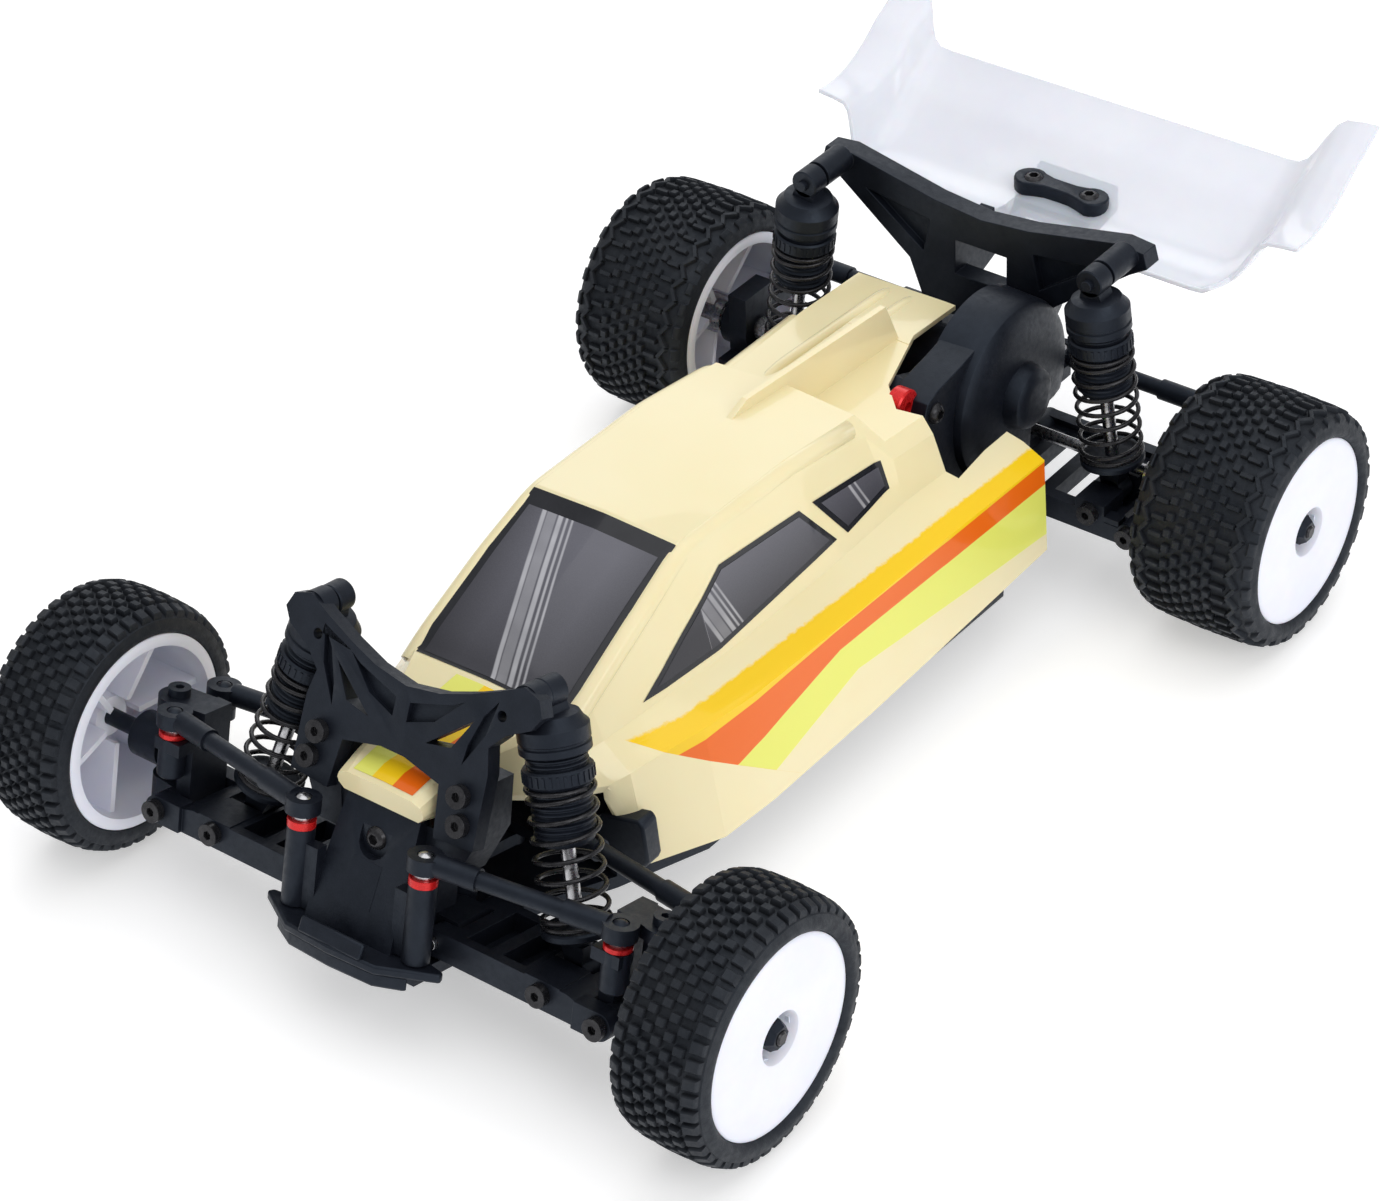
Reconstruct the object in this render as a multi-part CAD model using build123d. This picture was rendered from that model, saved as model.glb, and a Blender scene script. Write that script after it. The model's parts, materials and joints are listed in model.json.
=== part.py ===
from build123d import *
import math
import os

# A 1:18 electric off-road buggy with a rear motor and rear drive, in millimetres.
# Points are given with y = 0 midway between the axles, x to the buggy's left, z up
# from the ground and the nose towards -y. Every finished node is then moved by
# -CENTRE_Y, so that the row's origin is under the middle of its bounding box.

# Driving dimensions.
WHEELBASE = 155.0
AXLE_HEIGHT = 22.3          # also the tyre radius
CENTRE_Y = 16.6
KICK_UP = 15.0              # the whole front suspension leans back by this many degrees
TYRE_RADIUS = 22.3
RIM_RADIUS = 16.6
FRONT_TYRE = (56.4, 73.8)   # inner and outer side, x
REAR_TYRE = (48.6, 73.4)
FLOOR_Z = (8.6, 11.0)       # underside and top of the chassis floor

# Front suspension, in the tilted front frame: x out, y back, z up from the axle.
ARM_PIN_IN = (12.5, -7.0)   # x, z of the inner hinge pin
FRONT_ARM_LENGTH = 33.3
ARM_PIN_OUT = (ARM_PIN_IN[0] + FRONT_ARM_LENGTH, ARM_PIN_IN[1])
FRONT_CAMBER_IN = (12.5, -11.6, 8.9)
FRONT_CAMBER_OUT = (FRONT_CAMBER_IN[0] + FRONT_ARM_LENGTH, -5.5, 8.9)
KINGPIN_X = 50.0
STEER_ARM = 11.0            # kingpin to steering ball, straight back
STEER_Z = 6.7
SAVER_PIVOT = (7.0, 6.0)    # x, y of the servo saver and of the idler, mirrored
TIE_IN = (KINGPIN_X - FRONT_ARM_LENGTH, SAVER_PIVOT[1] + STEER_ARM, STEER_Z)
TIE_OUT = (KINGPIN_X, STEER_ARM, STEER_Z)
FRONT_SHOCK_TOP = (21.5, 3.0, 36.9)
FRONT_SHOCK_FOOT = (34.0, 3.0, -6.7)

# Rear suspension, in the rear frame: x out, y back, z up from the axle.
REAR_PIN_IN = (12.5, -5.6)
REAR_ARM_LENGTH = 31.0
REAR_PIN_OUT = (REAR_PIN_IN[0] + REAR_ARM_LENGTH, REAR_PIN_IN[1])
REAR_CAMBER_IN = (12.5, 14.0, 7.5)
REAR_CAMBER_OUT = (REAR_CAMBER_IN[0] + REAR_ARM_LENGTH, 14.0, 7.5)
DRIVE_IN = 11.0             # inner and outer ball of the driveshaft, x
DRIVE_OUT = DRIVE_IN + REAR_ARM_LENGTH
REAR_SHOCK_TOP = (30.2, -3.2, 38.2)
REAR_SHOCK_FOOT = (35.5, -3.2, -3.6)

# Gear train, in the rear frame: pitch radius is MODULE * teeth / 2.
MODULE = 0.5
DIFF_TEETH = 40
TOP_TEETH = 20
SPUR_TEETH = 48
PINION_TEETH = 22
TOP_SHAFT = (-8.0, 12.8)    # y, z
MOTOR = (-23.4, 4.3)

# Fits.
PIN_R = 1.0
RUN = 0.05                  # radial running clearance
BALL_R = 1.7
ROD_R = 1.5

FRONT = Location((0, -WHEELBASE / 2, AXLE_HEIGHT), (-KICK_UP, 0, 0))
REAR = Location((0, WHEELBASE / 2, AXLE_HEIGHT))
TOWER = Location((0, -7.3, 16.5), (-10.1, 0, 0))     # the front tower's face, in the front frame
TOWER_SCREWS = ((14.4, 2.9), (15.4, -1.6))           # x, z on that face


def box(x, y, z):
    size = (x[1] - x[0], y[1] - y[0], z[1] - z[0])
    return Pos((x[0] + x[1]) / 2, (y[0] + y[1]) / 2, (z[0] + z[1]) / 2) * Box(*size)


def cyl_x(x, y, z, r):
    return Pos((x[0] + x[1]) / 2, y, z) * Rot(0, 90, 0) * Cylinder(r, x[1] - x[0])


def cyl_y(x, y, z, r):
    return Pos(x, (y[0] + y[1]) / 2, z) * Rot(90, 0, 0) * Cylinder(r, y[1] - y[0])


def cyl_z(x, y, z, r):
    return Pos(x, y, (z[0] + z[1]) / 2) * Cylinder(r, z[1] - z[0])


def ball(p, r):
    return Pos(*p) * Sphere(r)


def rod(a, b, r):
    a, b = Vector(*a), Vector(*b)
    return Plane(origin=a, z_dir=b - a) * Cylinder(r, (b - a).length, align=(Align.CENTER, Align.CENTER, Align.MIN))


def prism_x(points, x):
    face = make_face(Polyline(*[(x[0], p[0], p[1]) for p in points], close=True))
    return extrude(face, amount=x[1] - x[0], dir=(1, 0, 0))


def prism_y(points, y):
    face = make_face(Polyline(*[(p[0], y[0], p[1]) for p in points], close=True))
    return extrude(face, amount=y[1] - y[0], dir=(0, 1, 0))


def prism_z(points, z):
    face = make_face(Polyline(*[(p[0], p[1], z[0]) for p in points], close=True))
    return extrude(face, amount=z[1] - z[0], dir=(0, 0, 1))


def turned_x(points):
    """Turn an outline of (x, radius) points about the x axis."""
    face = make_face(Polyline(*[(p[0], 0, p[1]) for p in points], close=True))
    return revolve(face, Axis.X, 360)


def both_sides(points):
    """Close a right-hand outline, given as (x, other) points, with its mirror image."""
    return points + [(-p[0], p[1]) for p in reversed(points) if p[0] != 0]


def mirrored(shape):
    return mirror(shape, about=Plane.YZ)


def gear(teeth, x, y, z, bore, turn):
    """A spur gear about the x axis with straight-sided teeth and generous backlash."""
    pitch_r = MODULE * teeth / 2
    tip_r, root_r = pitch_r + 0.38, pitch_r - 0.62
    profile = [(root_r, -0.44), (tip_r, -0.17), (tip_r, 0.17), (root_r, 0.44)]
    points = []
    for i in range(teeth):
        middle = turn + 2 * math.pi * i / teeth
        for r, half in profile:
            angle = middle + half / r
            points.append((y + r * math.cos(angle), z + r * math.sin(angle)))
    return prism_x(points, x) - cyl_x((x[0] - 1, x[1] + 1), y, z, bore)


def hex_screw(p, direction, length, head_r=1.9, head_h=1.5):
    """A button screw with a hex socket; p is under its head, direction points into the part."""
    plane = Plane(origin=p, z_dir=direction)
    low = (Align.CENTER, Align.CENTER, Align.MIN)
    shank = Cylinder(PIN_R, length, align=low)
    head = Pos(0, 0, -head_h) * Cylinder(head_r, head_h, align=low)
    socket = Pos(0, 0, -head_h) * extrude(RegularPolygon(0.8, 6), amount=0.9)
    return plane * (head + shank - socket)


# ---------------------------------------------------------------- chassis and front end

def chassis_tub():
    half = [(0, -70), (12, -70), (21.5, -52), (27.8, -36), (29.2, 48), (22, 60), (13, 66), (13, 92), (0, 92)]
    floor = prism_z(both_sides(half), FLOOR_Z)
    wall = [(20, -52), (26.3, -36.3), (27.7, 47.4), (21, 58.4), (22, 60), (29.2, 48), (27.8, -36), (21.5, -52)]
    for side in (1, -1):
        floor += prism_z([(side * p[0], p[1]) for p in wall], (FLOOR_Z[0], 17.0))
    kick = FRONT * prism_z(both_sides([(0, -12), (13, -12), (13, 12.5), (0, 12.5)]), (-13.0, -10.6))
    tub = floor + kick
    servo_tray = box((-18, 18), (-46, -44), (FLOOR_Z[0], 20)) + box((-18, 18), (-22, -20), (FLOOR_Z[0], 20))
    battery_rail = box((-1, 1), (-18, 40), (FLOOR_Z[0], 15))
    tub += servo_tray + battery_rail
    for y in (-4.5, 4.5):
        tub -= REAR * cyl_z(6.5, y, (-20, -11), PIN_R + 0.02)
        tub -= REAR * cyl_z(-6.5, y, (-20, -11), PIN_R + 0.02)
    return tub


def front_bulkhead():
    solid = box((-14.3, 14.3), (-4, 4), (-10.6, -4.2)) + box((-9.9, 9.9), (-5.6, 0.8), (-10.6, 11.0))
    ramp = prism_x([(-5, -10.6), (-13.8, -10.6), (-13.2, -7.6), (-7.0, 12.0), (-5, 12.0)], (-9, 9))
    solid += ramp & prism_y([(-9, -11), (9, -11), (7.4, 12.1), (-7.4, 12.1)], (-14, 1))
    for side in (1, -1):
        solid += prism_y([(side * 9.0, 4), (side * 9.8, 10), (side * 11, 21.6), (side * 17.6, 21.6),
                          (side * 18, 13), (side * 14, 4)], (-5.8, 1.8))
        solid += cyl_z(side * FRONT_CAMBER_IN[0], FRONT_CAMBER_IN[1], (-8.5, 5.0), 2.3)
        solid += box((8, 12.5) if side > 0 else (-12.5, -8), (-12.6, -10.4), (-8.5, 2.8))
        solid -= cyl_z(side * SAVER_PIVOT[0], SAVER_PIVOT[1], (-12, 8), 2.9)
        solid -= cyl_y(side * ARM_PIN_IN[0], (-5, 5), ARM_PIN_IN[1], PIN_R)
    solid -= tower_plate()
    solid -= box((-2.7, 2.7), (-16, -9.9), (-3.0, 6.0))
    return FRONT * solid


def front_bumper():
    plan = both_sides([(0, -9.8), (14.5, -12.2), (15, -15.5), (9.5, -20.5), (0, -21.2)])
    plate = prism_z([p for p in plan], (-10.5, -8.6))
    skid = prism_z(both_sides([(0, -14.3), (12.8, -14.3), (9.2, -19.6), (0, -20.2)]), (-13.0, -10.5))
    lip = prism_x([(-21.2, -8.6), (-19.6, -8.6), (-18.8, -5.6), (-20.0, -5.6)], (-8, 8))
    cut = box((-9.05, 9.05), (-14.25, -5), (-12, -8))
    return FRONT * (plate + skid + lip - cut)


def tower_plate():
    """The front tower's plate, which leans back from the bulkhead on a plane of its own."""
    half = [(0, 15.7), (6.5, 16.8), (12.2, 18.9), (17.5, 21.3), (21.5, 23.4), (24.6, 22.4), (25.8, 19.8), (24.4, 17.4),
            (20.0, 14.9), (17.4, 12.0), (18.4, 7.7), (18.6, -4.8), (10.9, -5.4), (9.8, 3.1), (2.4, 4.8), (0, 4.8)]
    return TOWER * prism_y(both_sides(half), (0, 3))


def front_shock_tower():
    tower = tower_plate()
    for side in (1, -1):
        tower -= TOWER * prism_y([(side * 13.8, 15.0), (side * 5.8, 8.4), (side * 10.6, 9.4)], (-1, 4))
        for x, z in TOWER_SCREWS:
            tower -= TOWER * cyl_y(side * x, (-1, 4), z, PIN_R)
        standoff = cyl_y(side * FRONT_SHOCK_TOP[0], (-2.5, 0.8), FRONT_SHOCK_TOP[2], 2.6)
        tower += standoff + cyl_y(side * FRONT_SHOCK_TOP[0], (0.8, 5.6), FRONT_SHOCK_TOP[2], PIN_R)
        tower -= TOWER * cyl_y(side * 18.6, (-1, 4), 17.6, 0.9)
    relief = FRONT_SHOCK.plane * FRONT_SHOCK.tube((3.0, 12.0), CAP_R + 0.5)
    return FRONT * (tower - relief - mirrored(relief))


# ---------------------------------------------------------------- gearbox and rear end

def gearbox_case():
    y, z = TOP_SHAFT
    outside = cyl_x((-8.5, 8.5), 0, 0, 12.4) + cyl_x((-8.5, 8.5), y, z, 6.8)
    outside += prism_x([(-11.5, 4), (y - 6.6, z + 1), (y + 5.5, z + 4), (11.3, 5)], (-8.5, 8.5))
    outside = outside & box((-9, 9), (-20, 20), (-11.3, 25))
    outside += box((-14.8, 14.8), (-6, 6), (-8.3, -3.4))
    plate = [(-13, -6), (-33, -6), (-34, 4), (-34, 22), (-29, 24), (-16, 19), (y - 4, z + 4.5), (-8, 0)]
    outside += prism_x(plate, (6.2, 8.5))
    inside = cyl_x((-6.5, 6.5), 0, 0, 10.8) + cyl_x((-6.5, 6.5), y, z, 5.7)
    case = outside - inside
    case -= cyl_x((-20, 20), 0, 0, 3.0)
    case -= cyl_x((-8.0, 9), y, z, 1.5 + RUN)
    case -= cyl_x((6, 9), MOTOR[0], MOTOR[1], 3.2)
    for side in (1, -1):
        case -= cyl_y(side * REAR_PIN_IN[0], (-7, 7), REAR_PIN_IN[1], PIN_R)
        post = box((side * 8.5, side * 14) if side > 0 else (-14, -8.5), (11.0, 15.2), (2.6, 5.2))
        case += post + box((6.5, 8.5) if side > 0 else (-8.5, -6.5), (8.5, 15.2), (2.6, 5.2))
    return REAR * case


def gear_cover():
    y, z = TOP_SHAFT
    outside = cyl_x((9, 18.5), y, z, 14.4) + cyl_x((9, 16.5), MOTOR[0], MOTOR[1], 8.2)
    outside += prism_x([(-31, -2), (-31.6, 8), (-21.5, 16), (-12, -1)], (9, 15))
    outside += prism_x([(-34, 2), (-34, 19), (-29, 22), (-19, 17), (-20, 2)], (9, 11.5))
    outside += cyl_x((18.5, 21.2), y, z, 4.8) + cyl_x((9, 15.5), -31.3, 20.6, 2.7)
    inside = cyl_x((8, 17.2), y, z, 13.1) + cyl_x((8, 15.4), MOTOR[0], MOTOR[1], 6.7)
    inside += cyl_x((8, 20), y, z, 3.4)
    cover = outside - inside
    cover -= box((8, 23), (-4.6, 12), (-6, 6.2))
    cover -= box((8, 23), (-60, 20), (-20, -4.0))
    return REAR * cover


def rear_shock_tower():
    half = [(0, 35), (10, 36), (29, 39.9), (33.8, 39.4), (34.6, 36.5), (31, 34.2), (15.5, 22), (12.4, 14),
            (12.4, 1.5), (8.5, 1.5), (8.5, 12.6), (0, 14)]
    tower = prism_y(both_sides(half), (6.7, 10.7))
    for side in (1, -1):
        pocket = [(side * 12.5, 24.5), (side * 25, 33.5), (side * 11, 31.5)]
        tower -= prism_y(pocket, (5, 8.2))
        tower += cyl_y(side * REAR_SHOCK_TOP[0], (-0.8, 6.7), REAR_SHOCK_TOP[2], 2.6)
        tower += cyl_y(side * REAR_SHOCK_TOP[0], (-6.0, -0.8), REAR_SHOCK_TOP[2], PIN_R)
        strut = [(10.7, 16), (10.7, 27.5), (20, 29.5), (39, 29.5), (39, 23.4), (24, 21)]
        tower += prism_x(strut, (5.5, 8.5) if side > 0 else (-8.5, -5.5))
    tower += box((-8.5, 8.5), (28, 39), (23.4, 29.5))
    wing_space = [(p[0] - WHEELBASE / 2, p[1] - AXLE_HEIGHT - 0.92) for p in wing_section(*WING_CHORD, 0)]
    tower -= prism_x(wing_space + [(wing_space[-1][0], 50), (wing_space[0][0], 50)], (-20, 20))
    tower -= box((-5.5, 5.5), (4, 12), (22, 29))
    return REAR * tower


WING_CHORD = (97.0, 128.3)


def wing_section(low, high, shift):
    """The wing's curved chord between two places, as (y, z) points of its top surface."""
    points = []
    for i in range(9):
        t = i / 8
        y = low + (high - low) * t
        points.append((y, shift + 50.3 - 2.6 * math.sin(math.pi * min(t / 0.75, 1.0)) + 9.7 * t ** 2.6))
    return points


def wing():
    top = wing_section(*WING_CHORD, 0)
    under = [(p[0], p[1] - 0.9) for p in reversed(top)]
    sheet = prism_x(top + under, (-43, 43))
    for side in (1, -1):
        outline = ((43, wing_section(*WING_CHORD, 0)), (47, wing_section(99.5, 131, 4.6)),
                   (51.6, wing_section(102.0, 134.0, 8.6)))
        for (x0, upper0), (x1, upper1) in zip(outline, outline[1:]):
            faces = []
            for x, upper in ((x0, upper0), (x1, upper1)):
                lower = [(p[0], p[1] - 0.9) for p in reversed(upper)]
                faces.append(make_face(Polyline(*[(side * x, p[0], p[1]) for p in upper + lower], close=True)))
            sheet += loft(faces, ruled=True)
    for side in (1, -1):
        sheet -= cyl_z(side * 6.0, 110.5, (40, 60), PIN_R + 0.1)
    return sheet


def wing_clamp():
    plan = [(0, 109.0), (4, 109.0), (8.6, 107.6), (9.8, 110.5), (8.6, 113.4), (4, 112.0), (0, 112.0)]
    plate = prism_z(both_sides(plan), (47.5, 51.6))
    under = [(p[0], p[1] + 0.02) for p in wing_section(*WING_CHORD, 0)]
    plate -= prism_x(under + [(under[-1][0], 40), (under[0][0], 40)], (-20, 20))
    for side in (1, -1):
        plate -= cyl_z(side * 6.0, 110.5, (40, 60), PIN_R)
    return plate


# ---------------------------------------------------------------- body shell

# Half sections of the shell from its lower edge up to the centre line: y, then (x, z) points.
BODY_SECTIONS = [
    (-82.0, [(7.6, 36.2), (8.6, 37.2), (8.8, 38.0), (8.6, 38.6), (8.2, 39.4), (6.5, 40.0), (0, 40.2)]),
    (-77.0, [(8.6, 35.0), (9.2, 36.0), (9.2, 37.0), (9.0, 38.4), (8.7, 40.2), (7.4, 40.9), (0, 41.1)]),
    (-70.5, [(9.0, 33.6), (9.4, 35.0), (9.4, 36.4), (9.3, 38.2), (9.0, 40.8), (7.8, 41.6), (0, 41.9)]),
    (-62.5, [(15.2, 31.0), (15.8, 32.2), (15.6, 34.0), (14.8, 36.6), (13.4, 41.6), (12.0, 42.6), (0, 42.9)]),
    (-54.0, [(21.0, 29.0), (22.6, 31.6), (20.6, 34.4), (18.6, 36.6), (16.6, 42.0), (15.6, 43.1), (0, 43.6)]),
    (-50.6, [(27.5, 15.6), (24.4, 32.6), (21.6, 35.0), (19.4, 37.0), (16.9, 43.9), (15.8, 45.1), (0, 45.6)]),
    (-36.0, [(31.4, 12.8), (28.0, 33.6), (24.0, 35.2), (20.8, 37.2), (16.6, 50.6), (15.2, 52.0), (0, 52.5)]),
    (-23.4, [(32.0, 12.4), (29.2, 33.2), (25.0, 34.8), (21.4, 36.6), (16.4, 55.8), (14.4, 57.3), (0, 57.8)]),
    (5.0, [(32.2, 12.6), (30.0, 33.0), (25.8, 34.6), (21.8, 36.4), (16.8, 54.8), (14.6, 56.9), (0, 57.5)]),
    (25.0, [(32.2, 13.2), (30.6, 33.4), (26.2, 35.0), (21.8, 37.0), (16.6, 50.8), (14.4, 54.4), (0, 55.4)]),
    (29.0, [(32.2, 13.4), (30.8, 33.6), (26.4, 35.2), (21.8, 37.2), (19.6, 45.0), (17.8, 48.0), (0, 48.6)]),
    (57.0, [(32.4, 14.6), (31.6, 33.4), (27.2, 35.6), (23.0, 36.6), (20.8, 43.0), (19.0, 46.6), (0, 47.0)]),
]
DECK_SECTIONS = [
    (56.0, [(21.6, 37.0), (20.8, 43.0), (19.0, 46.6), (0, 47.2)]),
    (73.0, [(21.2, 38.0), (20.6, 42.6), (18.8, 45.8), (0, 46.2)]),
]
SHELL = 1.0


def body_hull(sections, inset):
    faces = []
    for i, (y, half) in enumerate(sections):
        pulled = []
        for k, (x, z) in enumerate(half):
            drop = 8.0 if k == 0 and inset else inset
            pulled.append((max(x - inset, 0), z - drop))
        if i == 0 and sections is BODY_SECTIONS:
            y += inset
        if i == len(sections) - 1:
            y += 2 * inset
        if i == 0 and sections is not BODY_SECTIONS:
            y -= 2 * inset
        ring = [(x, y, z) for x, z in pulled] + [(-x, y, z) for x, z in reversed(pulled) if x > 0]
        faces.append(make_face(Polyline(*ring, close=True)))
    return loft(faces, ruled=True)


def body_shell():
    shell = body_hull(BODY_SECTIONS, 0) - body_hull(BODY_SECTIONS, SHELL)
    deck = body_hull(DECK_SECTIONS, 0) - body_hull(DECK_SECTIONS, SHELL) - box((-40, 40), (50, 57), (0, 60))
    shell += deck
    fin = prism_x([(8, 56.5), (14, 58.6), (54, 55.4), (58, 46.4), (20, 46.4)], (-0.6, 0.6))
    shell += fin & box((-2, 2), (0, 80), (46.2, 60))
    gear_room = prism_z([(2.2, 80), (2.2, 60), (8.0, 44), (13.5, 38.5), (24.6, 41.0), (23.8, 50), (23.8, 80)], (0, 60))
    return shell - gear_room


# ---------------------------------------------------------------- electrics

def battery():
    return box((-25.5, -2.5), (-17, 36), (FLOOR_Z[1], 29))


def servo_and_receiver():
    servo = box((-17, 5), (-43.8, -32), (FLOOR_Z[1], 31)) + cyl_z(-11, -38, (31, 33.5), 3.0)
    receiver = box((4, 25), (-15, 14), (FLOOR_Z[1], 21))
    speed_control = box((5, 24), (17, 39), (FLOOR_Z[1], 19))
    fins = [box((6 + 3 * i, 7.4 + 3 * i), (19, 37), (19, 22)) for i in range(6)]
    return Compound(children=[servo, receiver, speed_control] + [solid for fin in fins for solid in fin.solids()])


def motor():
    y, z = MOTOR
    can = cyl_x((-20.5, 6.2), y, z, 10.4) - cyl_x((-22, -18.5), y, z, 7.5) + cyl_x((-20.5, -18), y, z, 3.5)
    return REAR * (can + cyl_x((6.2, 7.9), y, z, 3.1) - cyl_x((-0.6, 12), y, z, 1.0 + RUN))


def motor_pinion():
    y, z = MOTOR
    toward_spur = math.atan2(TOP_SHAFT[1] - z, TOP_SHAFT[0] - y)
    teeth = gear(PINION_TEETH, (11.3, 14.7), y, z, 1.0, toward_spur)
    shaft = cyl_x((0, 15.2), y, z, 1.0)
    return REAR * (teeth + shaft)


def spur_gear():
    y, z = TOP_SHAFT
    from_pinion = math.atan2(MOTOR[1] - z, MOTOR[0] - y)
    spur = gear(SPUR_TEETH, (11.2, 14.4), y, z, 1.5, from_pinion + math.pi / SPUR_TEETH)
    spur -= cyl_x((13.4, 16), y, z, 9.6) - cyl_x((13.4, 16), y, z, 5.5)
    top = gear(TOP_TEETH, (-3.6, 3.6), y, z, 1.5, math.atan2(-z, -y))
    shaft = cyl_x((-7.6, 18.6), y, z, 1.5)
    nut = cyl_x((14.4, 18), y, z, 2.6)
    return REAR * (spur + top + shaft + nut)


def differential():
    y, z = TOP_SHAFT
    ring = gear(DIFF_TEETH, (-3.0, 3.0), 0, 0, 4.0, math.atan2(z, y) + math.pi / DIFF_TEETH)
    case = cyl_x((-5.6, 5.6), 0, 0, 6.2)
    solid = ring + case
    for side in (1, -1):
        outdrive = cyl_x((5, 13.2) if side > 0 else (-13.2, -5), 0, 0, 2.6)
        solid += outdrive
        solid += cyl_x((5.4, 8.4) if side > 0 else (-8.4, -5.4), 0, 0, 2.95)
        solid -= cyl_x((8.9, 14) if side > 0 else (-14, -8.9), 0, 0, 1.75)
    return REAR * solid


# ---------------------------------------------------------------- steering

def servo_saver():
    x, y = SAVER_PIVOT
    post = cyl_z(x, y, (-10.4, 2.6), 2.4)
    arm = box((x - 2.2, x + 2.2), (y, y + STEER_ARM), (0.4, 2.6)) + cyl_z(x, y + STEER_ARM, (0.4, 2.6), 2.4)
    drive = prism_z([(x - 2, y - 1), (x - 8.4, y + 4), (x - 7.2, y + 6), (x + 1, y + 3)], (-3, -1))
    arm -= cyl_z(x, y + STEER_ARM, (0, 3), PIN_R + RUN)
    return FRONT * (post + arm + drive - cyl_z(x, y, (-11, 6), 1.5 + RUN))


def idler_arm():
    x, y = SAVER_PIVOT
    post = cyl_z(-x, y, (-10.4, 2.6), 2.4)
    arm = box((-x - 2.2, -x + 2.2), (y, y + STEER_ARM), (0.4, 2.6)) + cyl_z(-x, y + STEER_ARM, (0.4, 2.6), 2.4)
    arm -= cyl_z(-x, y + STEER_ARM, (0, 3), PIN_R + RUN)
    return FRONT * (post + arm - cyl_z(-x, y, (-11, 6), 1.5 + RUN))


def steering_link():
    x, y = SAVER_PIVOT
    y += STEER_ARM
    bar = box((-TIE_IN[0], TIE_IN[0]), (y - 1.8, y + 1.8), (2.9, 4.6))
    for side in (1, -1):
        bar += cyl_z(side * TIE_IN[0], y, (2.9, 4.6), 2.2) + cyl_z(side * TIE_IN[0], y, (4.6, 5.6), 1.0)
        bar += ball((side * TIE_IN[0], y, STEER_Z), BALL_R)
        bar += cyl_z(side * x, y, (0.3, 3), PIN_R)
    return FRONT * bar


def ball_link(a, b, ring_axis):
    """A moulded link with a ball cup on each end and a thinner adjusting rod between."""
    low, high = Vector(*a), Vector(*b)
    along = (high - low).normalized()
    link = rod(tuple(low + along * 2.2), tuple(high - along * 2.2), ROD_R)
    for p in (low, high):
        cup = Plane(origin=p, z_dir=ring_axis) * Cylinder(2.9, 2.6)
        link += cup
    link += rod(tuple(low + along * 2), tuple(low + along * 9.5), 1.9)
    link += rod(tuple(high - along * 9.5), tuple(high - along * 2), 1.9)
    for p in (low, high):
        link -= Pos(*p) * Sphere(BALL_R + RUN)
        link -= Plane(origin=p, z_dir=ring_axis) * Cylinder(1.35, 4)
    return link


# ---------------------------------------------------------------- front corner, left side

def front_arm():
    x0, z = ARM_PIN_IN
    x1 = ARM_PIN_OUT[0]
    arm = prism_y([(x0 + 3, z - 2.4), (x0 + 3, z + 2.4), (x1 - 7, z + 2.4), (x1 - 4.2, z + 1.6), (x1 - 4.2, z - 2.4)],
                  (-7.6, 8.4))
    arm += box((x0 + 2.6, x0 + 5), (-7.6, 8.4), (z - 2.4, z + 2.4))
    for y0, y1 in ((-7.6, -4.2), (4.2, 8.4)):
        arm += cyl_y(x0, (y0, y1), z, 2.4) + box((x0, x0 + 4), (y0, y1), (z - 2.4, z + 2.4))
    for y0, y1 in ((-8.4, -5.1), (5.1, 8.4)):
        arm += cyl_y(x1, (y0, y1), z, 2.4) + box((x1 - 5, x1), (y0, y1), (z - 2.4, z + 2.4))
    x, y, foot_z = FRONT_SHOCK_FOOT
    arm += box((x - 3.4, x + 3.4), (-7.6, y + 5.4), (z - 2.4, z + 2.6))
    arm -= box((x - 3.9, x + 3.9), (y - 2.7, y + 2.7), (z - 3, z + 6))
    for px in (20.0, 27.0):
        arm -= box((px - 2.3, px + 2.3), (-5.6, 6.4), (z - 1.0, z + 4))
    arm -= cyl_y(x0, (-10, 10), z, PIN_R + RUN)
    pins = [hex_screw((x1, -8.4, z), (0, 1, 0), 16.6), hex_screw((x, -7.6, foot_z), (0, 1, 0), 15.6)]
    arm -= cyl_y(x1, (-10, 10), z, PIN_R)
    arm -= cyl_y(x, (-9, 10), foot_z, PIN_R)
    return Compound(children=[FRONT * arm] + [FRONT * pin for pin in pins])


def front_caster():
    x, z = ARM_PIN_OUT
    inner = x - 3.4
    block = cyl_y(x, (-5, 5), z, 2.4)
    block += box((inner, x - 0.4), (-4.4, 4.4), (z - 2.2, 5.6)) + box((inner, x - 0.4), (-2.0, 4.4), (5.6, 9.6))
    top = [(inner, -2.0), (KINGPIN_X, -3.2), (KINGPIN_X, 3.4), (inner, 4.4)]
    bottom = [(inner, -4.4), (KINGPIN_X, -3.4), (KINGPIN_X, 3.4), (inner, 4.4)]
    block += prism_z(top, (7.3, 9.6)) + cyl_z(KINGPIN_X, 0, (7.3, 9.6), 3.4)
    block += prism_z(bottom, (-9.6, -4.7)) + cyl_z(KINGPIN_X, 0, (-9.6, -4.7), 3.4)
    bx, by, bz = FRONT_CAMBER_OUT
    block += box((bx - 3.4, bx + 2), (by - 2.2, -4), (3.4, 5.6)) + cyl_z(bx, by, (5.6, bz), 1.0)
    block += ball((bx, by, bz), BALL_R)
    block -= cyl_y(x, (-9, 9), z, PIN_R + RUN)
    block -= cyl_z(KINGPIN_X, 0, (-12, 12), PIN_R)
    screws = [hex_screw((KINGPIN_X, 0, 9.6), (0, 0, -1), 6.4), hex_screw((KINGPIN_X, 0, -9.6), (0, 0, 1), 8.0)]
    return Compound(children=[FRONT * block] + [FRONT * screw for screw in screws])


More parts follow.
